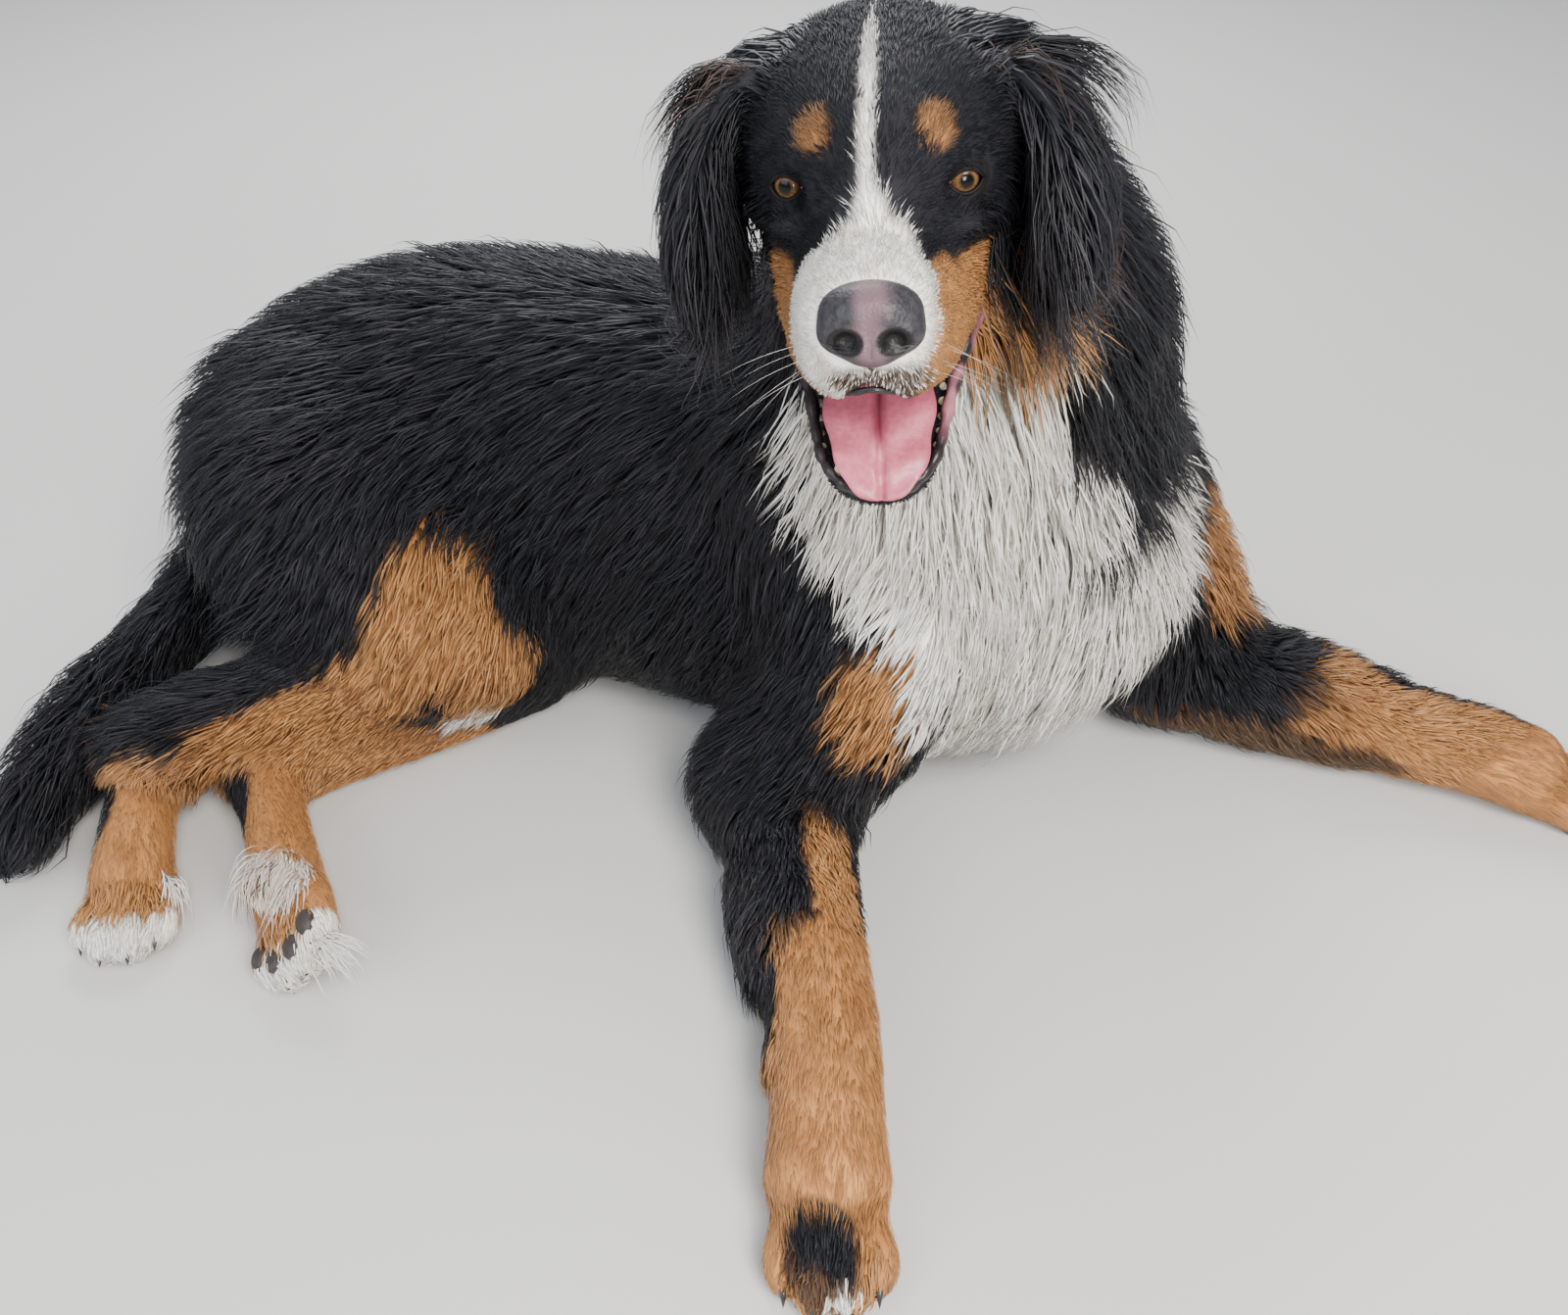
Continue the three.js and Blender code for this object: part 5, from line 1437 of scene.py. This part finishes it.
# The nose: dark pebbled leather with a mauve middle, comma nostrils and a groove. Each form has its place
# ahead, beside and above, its half sizes, its blend and whether it is carved away
print("nose")
noseSettings = {"middle": (106, 0, -40), "reach": 42, "step": 1.0, "centre": (109, 1, -41), "shifted": 1,
                "pads": [((107, 1, -34), (27, 15, 19), 6, False), ((107, 1, -49), (20, 15, 18), 6, False)],
                "beside": [((109, 17, -44), (11.5, 11.5, 14), 6, False),
                           ((128.5, 13, -46), (8.2, 6.8, 11), 3.0, True),
                           ((125, 20.5, -50), (8.5, 1.8, 9), 2.5, True)],
                "grooves": [((129, 1, -55), (1.0, 17, 6.5), 2.5, True),
                            ((128, 1, -36), (5, 12, 2.5), 6, True)],
                "nostril": ((13, -5, 15), (9.0, 7.6, 13)), "mauve": (3, 15), "mauve from": (-24, -12),
                "finish": {"light": (0.034, 0.032, 0.037), "dark": (0.016, 0.015, 0.018),
                           "roughness": 0.5, "coat": 0.06, "gloss": 0.32, "grain": (560, 0.5, 0.0006),
                           "pebbled": True, "marked": ("pink", (0.13, 0.078, 0.092)),
                           "nostrilShade": ("nostrilShade", (0.002, 0.0015, 0.0015))}}


def makeNose():
    middle = inHead(*noseSettings["middle"])
    form = Block(middle - noseSettings["reach"], middle + noseSettings["reach"], coarse=noseSettings["step"])
    parts = [*noseSettings["pads"]]
    for side in (-1, 1):
        for (a, b, c), *rest in noseSettings["beside"]:
            parts.append(((a, noseSettings["shifted"] + side * b, c), *rest))
    for place, sizes, blend, carve in parts + noseSettings["grooves"]:
        form.addBall(inHead(*place), sizes, blend=blend, carve=carve)
    return makeMesh("nose_pad", *largestPart(*form.surface()))


nose = makeNose()
noseOwn = (plainPlaces(nose.data) - inHead(*noseSettings["centre"])) @ headAxes.T
pinkShare = 1 - smoothstep(*noseSettings["mauve"], np.abs(noseOwn[:, 0]) + 5 * wobble(noseOwn, 6, 51))
pinkShare *= smoothstep(*noseSettings["mauve from"], noseOwn[:, 1])
(beside, above, ahead), nostrilSizes = noseSettings["nostril"]
# Painted shade: the nostrils are near black inside and lose their mauve
nostrilDepth = np.min([np.linalg.norm((noseOwn - (side * beside, above, ahead)) / nostrilSizes, axis=1)
                       for side in (-1, 1)], axis=0)
setAttribute(nose.data, "pink", pinkShare * smoothstep(0.85, 1.2, nostrilDepth))
setAttribute(nose.data, "nostrilShade", 1 - smoothstep(1.0, 1.2, nostrilDepth))
dress(nose, "nose_leather", wetMaterial("nose leather", **noseSettings["finish"]), "nose")

# The tongue lies in the lower jaw with a groove along it and hangs a little over its tip
print("tongue")
tongueSettings = {"groove": 4.4, "groove width": 2.2, "edge": 2.4, "thickness": 0.5, "height": 0.8,
                  "rows": [(-45, 0, -72, 25, 10), (-10, 0, -68, 29, 11), (25, 0, -66, 31, 12),
                           (50, 0, -66, 33, 11), (68, 1, -67, 31, 9), (82, 2, -69, 28, 8),
                           (93, 2, -72, 23, 6.5), (101, 2, -77, 16, 5), (104, 2, -80, 7, 3)],
                  "line width": 2.8, "line end": (62, 86), "deep edge": (22, 30), "edge share": 0.35,
                  "finish": {"light": (0.52, 0.12, 0.165), "dark": (0.42, 0.09, 0.13), "roughness": 0.42,
                             "coat": 0.2, "grain": (1100, 0.35, 0.0004), "pebbled": True,
                             "marked": ("deep", (0.16, 0.02, 0.04))}}


def makeTongue():
    rings = sectionsOf((crownwards, 5, [jawRow(*row) for row in tongueSettings["rows"]]), 0, 6)
    turn = np.linspace(0, 2 * math.pi, 72, endpoint=False)
    across, above = np.cos(turn), np.sin(turn)
    top = np.where(above > 0, above, above * tongueSettings["thickness"])
    shape = []
    for i, share in enumerate(rings["share"]):
        x = across * rings["width"][i] * (1 + 0.03 * np.sin(share * 21))
        fade = smoothstep(0.0, 0.2, share) * (1 - 0.5 * smoothstep(0.92, 1.0, share))
        y = top * rings["height"][i] * tongueSettings["height"]
        trench = np.exp(-(x / tongueSettings["groove width"]) ** 2) * (above > 0)
        y -= tongueSettings["groove"] * fade * trench
        y += tongueSettings["edge"] * fade * np.abs(across) ** 3
        y += 0.7 * fade * np.sin(share * 26 + np.abs(across) * 5) * (above > 0)
        shape.append(rings["centre"][i] + x[:, None] * rings["side"][i] + y[:, None] * rings["high"][i])
    return makeMesh("soft_tongue", *ringForm(np.array(shape)))


tongue = makeTongue()
tongueOwn = plainPlaces(tongue.data)
tongueAcross = np.abs((tongueOwn - inJaw(50, 0, -70)) @ leftwards)
tongueAlong = (tongueOwn - inJaw(0, 0, -70)) @ unit(inJaw(1, 0, 0) - inJaw(0, 0, 0))
# Painted shade along the groove, the tongue darker towards its sides, and a random mottle, all in the deep
# mask
tongueGrooveShade = np.exp(-(tongueAcross / tongueSettings["line width"]) ** 2)
tongueGrooveShade *= 1 - smoothstep(*tongueSettings["line end"], tongueAlong)
tongueEdge = tongueSettings["edge share"] * smoothstep(*tongueSettings["deep edge"], tongueAcross)
setAttribute(tongue.data, "deep", np.clip(tongueGrooveShade + tongueEdge + 0.25 * wobble(tongueOwn, 9, 61), 0, 1))
dress(tongue, "tongue", wetMaterial("tongue", **tongueSettings["finish"]), "tongue")

# The lips: the bumpy edge of the lower jaw and the dark line under the upper lips
print("lips and teeth")
lipSettings = {"lower": {"place": inJaw, "radius": 3.0, "bump": 0.16, "count": 220,
                         "points": [(-70, 68, -62), (-50, 65, -65), (-25, 58, -68), (0, 51, -71),
                                    (30, 43, -74), (55, 38.5, -76), (72, 35, -77), (86, 28, -78),
                                    (95, 17, -80), (99, 0, -81)]},
               "upper": {"place": inHead, "radius": 1.7, "bump": 0.05, "count": 120,
                         "points": [(-45, 54, -84), (-25, 49, -88), (-8, 46, -92), (20, 42, -95),
                                    (45, 36, -95), (68, 30, -92), (86, 20, -88), (96, 10, -84),
                                    (100, 0, -81)]},
               "pink middle": (10, 44, -74), "pink reach": (30, 62),
               "finish": {"light": (0.012, 0.009, 0.010), "dark": (0.022, 0.015, 0.017), "roughness": 0.4,
                          "coat": 0.25, "gloss": 0.25, "grain": (420, 0.6, 0.0006),
                          "marked": ("pink", (0.34, 0.13, 0.16))}}


def lipPath(points, place, count):
    both = [(a, -b, c) for a, b, c in points] + [(a, b, c) for a, b, c in points[-2::-1]]
    return np.array([place(*row) for row in splineAt(both, np.linspace(0, 1, count))])


def lipForm(points, place, radius, bump, count):
    centres = lipPath(points, place, count)
    share = np.linspace(0, 1, count)
    swell = 1 + bump * (np.sin(share * count * 0.62) + 0.5 * np.sin(share * count * 0.27))
    ends = smoothstep(0, 0.06, share) * (1 - smoothstep(0.94, 1, share))
    swell = swell * (1 + bump * 3 * smoothstep(0.12, 0.4, np.abs(share - 0.5)))
    return ringForm(ringsAlong(centres, radius * swell * (0.3 + 0.7 * ends), crownwards, 1.15, 12))


lips = makeMesh("lips", *joined([lipForm(**lipSettings["lower"]), lipForm(**lipSettings["upper"])]))
lipPlaces = plainPlaces(lips.data)
jawBack = np.linalg.norm(lipPlaces - inJaw(*lipSettings["pink middle"]), axis=1)
lipPink = 1 - smoothstep(*lipSettings["pink reach"], jawBack)
setAttribute(lips.data, "pink", lipPink * smoothstep(-0.3, 0.4, wobble(lipPlaces, 2.2, 71)))
dress(lips, "lips", wetMaterial("lips", **lipSettings["finish"]))

# Teeth beside the tongue and in front: each has its place ahead and beside, its height and its radius
teethSettings = {"foot": -80, "lean": 0.8,
                 "rows": [(22, 37.5, 5, 2.8), (33, 37, 5, 2.9), (44, 36.5, 4.5, 2.7), (55, 35.5, 4, 2.5),
                          (65, 34, 4, 2.3), (84, 24, 9, 3.2), (92, 15, 6, 2.4), (95.5, 9, 6, 2.3),
                          (97, 3, 6, 2.2)],
                 "finish": {"light": (0.78, 0.68, 0.48), "dark": (0.66, 0.54, 0.34), "roughness": 0.3,
                            "coat": 0.4, "grain": (300, 0.2, 0.0003)}}
jawUp = inJaw(0, 0, 1) - inJaw(0, 0, 0)


def toothForm(a, b, reach, thick):
    share = np.linspace(0, 1, 6)[:, None]
    foot = inJaw(a, b, teethSettings["foot"])
    outwards = unit(inJaw(a, b * 1.1, teethSettings["foot"]) - foot)
    centres = foot + share * reach * jawUp + teethSettings["lean"] * share**2 * outwards
    return ringForm(ringsAlong(centres, thick * (1.02 - share[:, 0] ** 1.6), forwards, 0.8, 10))


teeth = [toothForm(a, side * b, reach, thick)
         for side in (-1, 1) for a, b, reach, thick in teethSettings["rows"]]
dress(makeMesh("teeth", *joined(teeth)), "tooth", wetMaterial("teeth", **teethSettings["finish"]))

# Claws at the toes, pads under the paws
print("claws and pads")


def clawForm(paw, across, ahead):
    reach = pawSettings["claw"] * paw["scale"]
    share = np.linspace(0, 1, 8)[:, None]
    start = ahead + pawSettings["claw start"]
    local = np.hstack([across + 0 * share, 1 - reach * 0.5 * share**2, start + reach * share])
    centres = np.array([pawPlace(paw, *row) for row in local])
    radii = pawSettings["claw thickness"] * paw["scale"] * (1.02 - share[:, 0] ** 1.5)
    return ringForm(ringsAlong(centres, radii, paw["back"], 1.2, 10))


def padForms(paw):
    inwards, above, before = pawSettings["toe pad place"]
    pads = [((across * inwards, above, ahead + before), pawSettings["toe pad"])
            for across, ahead in pawSettings["toes"]]
    pads += pawSettings["heel pads"]
    return [ringForm(ballRings(pawPlace(paw, *place), np.array(sizes) * paw["scale"], pawFrame(paw), 12, 20))
            for place, sizes in pads]


claws = [clawForm(paw, across, ahead) for paw in paws.values() for across, ahead in pawSettings["toes"]]
dress(makeMesh("claws", *joined(claws)), "claw", wetMaterial("claws", **pawSettings["claw finish"]))
padCorners, padFaces = joined([form for paw in paws.values() for form in padForms(paw)])
padCorners[:, 2] = np.maximum(padCorners[:, 2], pawSettings["least height"])  # none reaches the floor
dress(makeMesh("pads", padCorners, padFaces), "nose_leather",
      wetMaterial("pads", **pawSettings["pad finish"]))

# Whiskers: fine light hairs on the upper lips. Each has its place ahead and above, and its length
print("whiskers")
whiskerSettings = {"rows": [(90, -66, 48), (84, -60, 50), (80, -74, 54), (72, -68, 52), (66, -78, 48),
                            (94, -74, 36)],
                   "beside": 34, "half width": 0.12, "segments": 6, "thickness": 1.0, "white": 0.9,
                   "atlas": (0.97, 0.97, 0.0), "ahead": 0.25, "down": 0.35, "strayed": 0.16,
                   "range": (0.8, 1.15)}


def growWhiskers():
    starts, ways, reaches = [], [], []
    for side in (-1, 1):
        for a, c, reach in whiskerSettings["rows"]:
            starts.append(inHead(a, side * whiskerSettings["beside"], c))
            ways.append(leftwards * side + forwards * whiskerSettings["ahead"]
                        - crownwards * whiskerSettings["down"])
            reaches.append(reach)
    starts, count = np.array(starts), len(starts)
    way = unit(np.array(ways) + draw.normal(0, whiskerSettings["strayed"], (count, 3)))
    reach = np.array(reaches)[:, None] * draw.uniform(*whiskerSettings["range"], (count, 1))
    side = unit(np.cross(way, upwards))
    bends = {"root": starts, "bendA": starts + way * reach * 0.35,
             "bendB": starts + way * reach * 0.7 - upwards * reach * 0.05,
             "tip": starts + way * reach - upwards * reach * 0.2, "side": side, "out": np.cross(way, side)}
    even = np.ones(count)
    values = {"atlas": np.tile(whiskerSettings["atlas"], (count, 1)),
              "wide": whiskerSettings["half width"] * even, "white": whiskerSettings["white"] * even,
              "rust": 0 * even, "tint": even}
    growTufts("whiskers", bends, values, whiskerSettings["segments"], coatFinish, "coat_white",
              whiskerSettings["thickness"])


growWhiskers()

# Loose locks at the hind feet and ears. Each row has its place, spread, count, length, the ways of its
# start and end, and its shares of white and rust
print("locks")
imageLeft, towardsLens = np.array([-0.44, 0.90, 0.0]), np.array([-0.69, -0.34, 0.64])
imageDown = np.array([-0.58, -0.28, -0.77])
lockSettings = {
    "half width": 1.1, "segments": 6, "thickness": 0.28, "sunk": -1.0, "range": (0.6, 1.15), "swing": 0.22,
    "pale": [
        ((-372, 294, 62), 17, 90, 50, imageLeft * 0.9 + towardsLens * 0.5,
         imageDown + towardsLens * 0.2, (0.7, 1.0)),
        ((-385, 264, 64), 13, 60, 44, towardsLens * 0.8 - imageLeft * 0.3,
         imageDown + imageLeft * 0.2, (0.72, 1.0)),
        ((-416, 208, 50), 12, 60, 40, towardsLens * 0.3 - imageLeft * 0.7,
         imageDown * 0.6 - imageLeft * 0.6, (1.0, 0.0)),
        ((-400, 366, 44), 9, 36, 44, towardsLens * 0.4 - imageLeft * 0.5,
         imageDown - imageLeft * 0.1, (1.0, 0.0))],
    "dark": [
        ((-378, 280, 62), 16, 26, 46, imageLeft * 0.8 + towardsLens * 0.6, imageDown, (0.0, 0.15)),
        (inHead(-44, 71, 60), 13, 70, 54, leftwards * 0.8 + upwards * 0.25,
         leftwards * 0.4 - upwards, (0.0, 0.03)),
        (inHead(-36, 84, 46), 13, 60, 54, leftwards * 0.6 - upwards * 0.2,
         leftwards * 0.2 - upwards, (0.0, 0.03)),
        (inHead(-47, -75, 58), 12, 60, 50, upwards * 0.2 - leftwards * 0.8,
         -leftwards * 0.4 - upwards, (0.0, 0.03)),
        (inHead(-30, -88, 43), 12, 60, 50, -leftwards * 0.6 - upwards * 0.2,
         -leftwards * 0.2 - upwards, (0.0, 0.03))],
}


def growLocks(name, rows, slotName):
    sets = {key: [] for key in (*pathNames, "side", "out")}
    shade = []
    for place, spread, count, reach, first, last, colour in rows:
        roots = lifted(np.array(place) + draw.normal(0, spread * 0.5, (count, 3)), lockSettings["sunk"])
        long = reach * draw.uniform(*lockSettings["range"], (count, 1))
        swing = draw.normal(0, lockSettings["swing"], (count, 3))
        middle, end = unit(first + swing), unit(last + swing * 0.7)
        sets["root"].append(roots)
        sets["bendA"].append(roots + long * 0.42 * middle)
        sets["bendB"].append(roots + long * (0.5 * middle + 0.35 * end))
        sets["tip"].append(roots + long * (0.3 * middle + 0.9 * end))
        sets["out"].append(unit(towardsLens + draw.normal(0, 0.3, (count, 3))))
        sets["side"].append(unit(np.cross(sets["out"][-1], end)))
        shade += [colour] * count
    paths = {key: np.concatenate(rows) for key, rows in sets.items()}
    for key in pathNames:
        paths[key][:, 2] = np.maximum(paths[key][:, 2], coatSettings["lowest"])
    shade = np.array(shade, float)
    near = nearLengths(paths["root"], skinSettings["layer"])
    values = {"atlas": unwrapPlaces(paths["root"], near),
              "wide": np.full(len(shade), lockSettings["half width"]),
              "white": shade[:, 0], "rust": shade[:, 1], "tint": draw.random(len(shade))}
    growTufts(name, paths, values, lockSettings["segments"], coatFinish, slotName, lockSettings["thickness"])


growLocks("pale_locks", lockSettings["pale"], "coat_white")
growLocks("dark_locks", lockSettings["dark"], "coat_black")

# Floor, light and camera. Each lamp has its place and aim in metres, its size, power and colour
print("stage")
stageSettings = {"floor": 12.0, "floor colour": (0.56, 0.55, 0.53, 1), "floor roughness": 0.8,
                 "sky": (0.85, 0.9, 1, 1), "sky strength": 0.65,
                 "looks": (0.8988, 0.4384), "down": 40, "lens": 32.6, "sensor": 36,
                 "lamps": {"key": ((-1.5, -1.9, 2.9), (0, -0.2, 0.3), 1.5, 185, (1, 0.97, 0.92)),
                           "face": ((-0.97, -0.945, 0.80), (-0.05, -0.15, 0.5), 0.4, 16, (1, 0.98, 0.96)),
                           "fill": ((-2.6, 1.2, 1.8), (0, 0.1, 0.2), 2.2, 60, (0.85, 0.92, 1)),
                           "rim": ((2.0, 1.4, 2.2), (0, 0, 0.3), 1.6, 90, (1, 1, 1))}}


def makeStage():
    half = stageSettings["floor"] / 2 / mm
    floor = makeMesh("floor", [(-half, -half, 0), (half, -half, 0), (half, half, 0), (-half, half, 0)],
                     [(0, 1, 2, 3)])
    material, tree, shader = newMaterial("pale floor")
    setShader(shader, Base_Color=stageSettings["floor colour"], Roughness=stageSettings["floor roughness"])
    floor.data.materials.append(material)
    floor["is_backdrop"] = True
    world = bpy.data.worlds.new("studio")
    bpy.context.scene.world = world
    world.use_nodes = True
    sky = world.node_tree.nodes["Background"]
    sky.inputs["Color"].default_value = stageSettings["sky"]
    sky.inputs["Strength"].default_value = stageSettings["sky strength"]


def makeLamp(name, place, aim, size, power, colour):
    lamp = bpy.data.lights.new(name, "AREA")
    lamp.energy, lamp.size, lamp.color = power, size, colour
    piece = bpy.data.objects.new(name, lamp)
    piece.location = place
    piece.rotation_euler = (Vector(aim) - Vector(place)).to_track_quat("-Z", "Y").to_euler()
    bpy.context.scene.collection.objects.link(piece)


def makeCamera():
    lens = bpy.data.cameras.new("camera")
    lens.lens, lens.sensor_width = stageSettings["lens"], stageSettings["sensor"]
    camera = bpy.data.objects.new("camera", lens)
    camera.location = (np.array(cameraPlace) + placeShift) * mm
    level = unit(stageSettings["looks"])
    down = math.radians(stageSettings["down"])
    way = Vector((level[0] * math.cos(down), level[1] * math.cos(down), -math.sin(down)))
    camera.rotation_euler = way.to_track_quat("-Z", "Y").to_euler()
    lens.clip_start, lens.clip_end = 0.01, 100
    bpy.context.scene.collection.objects.link(camera)
    bpy.context.scene.camera = camera


makeStage()
for name, lampValues in stageSettings["lamps"].items():
    makeLamp(name, *lampValues)
makeCamera()

sizes = {"cad": [list(corner) for corner in cadBox], "visual": [list(corner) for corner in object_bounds()]}
print("size", sizes)
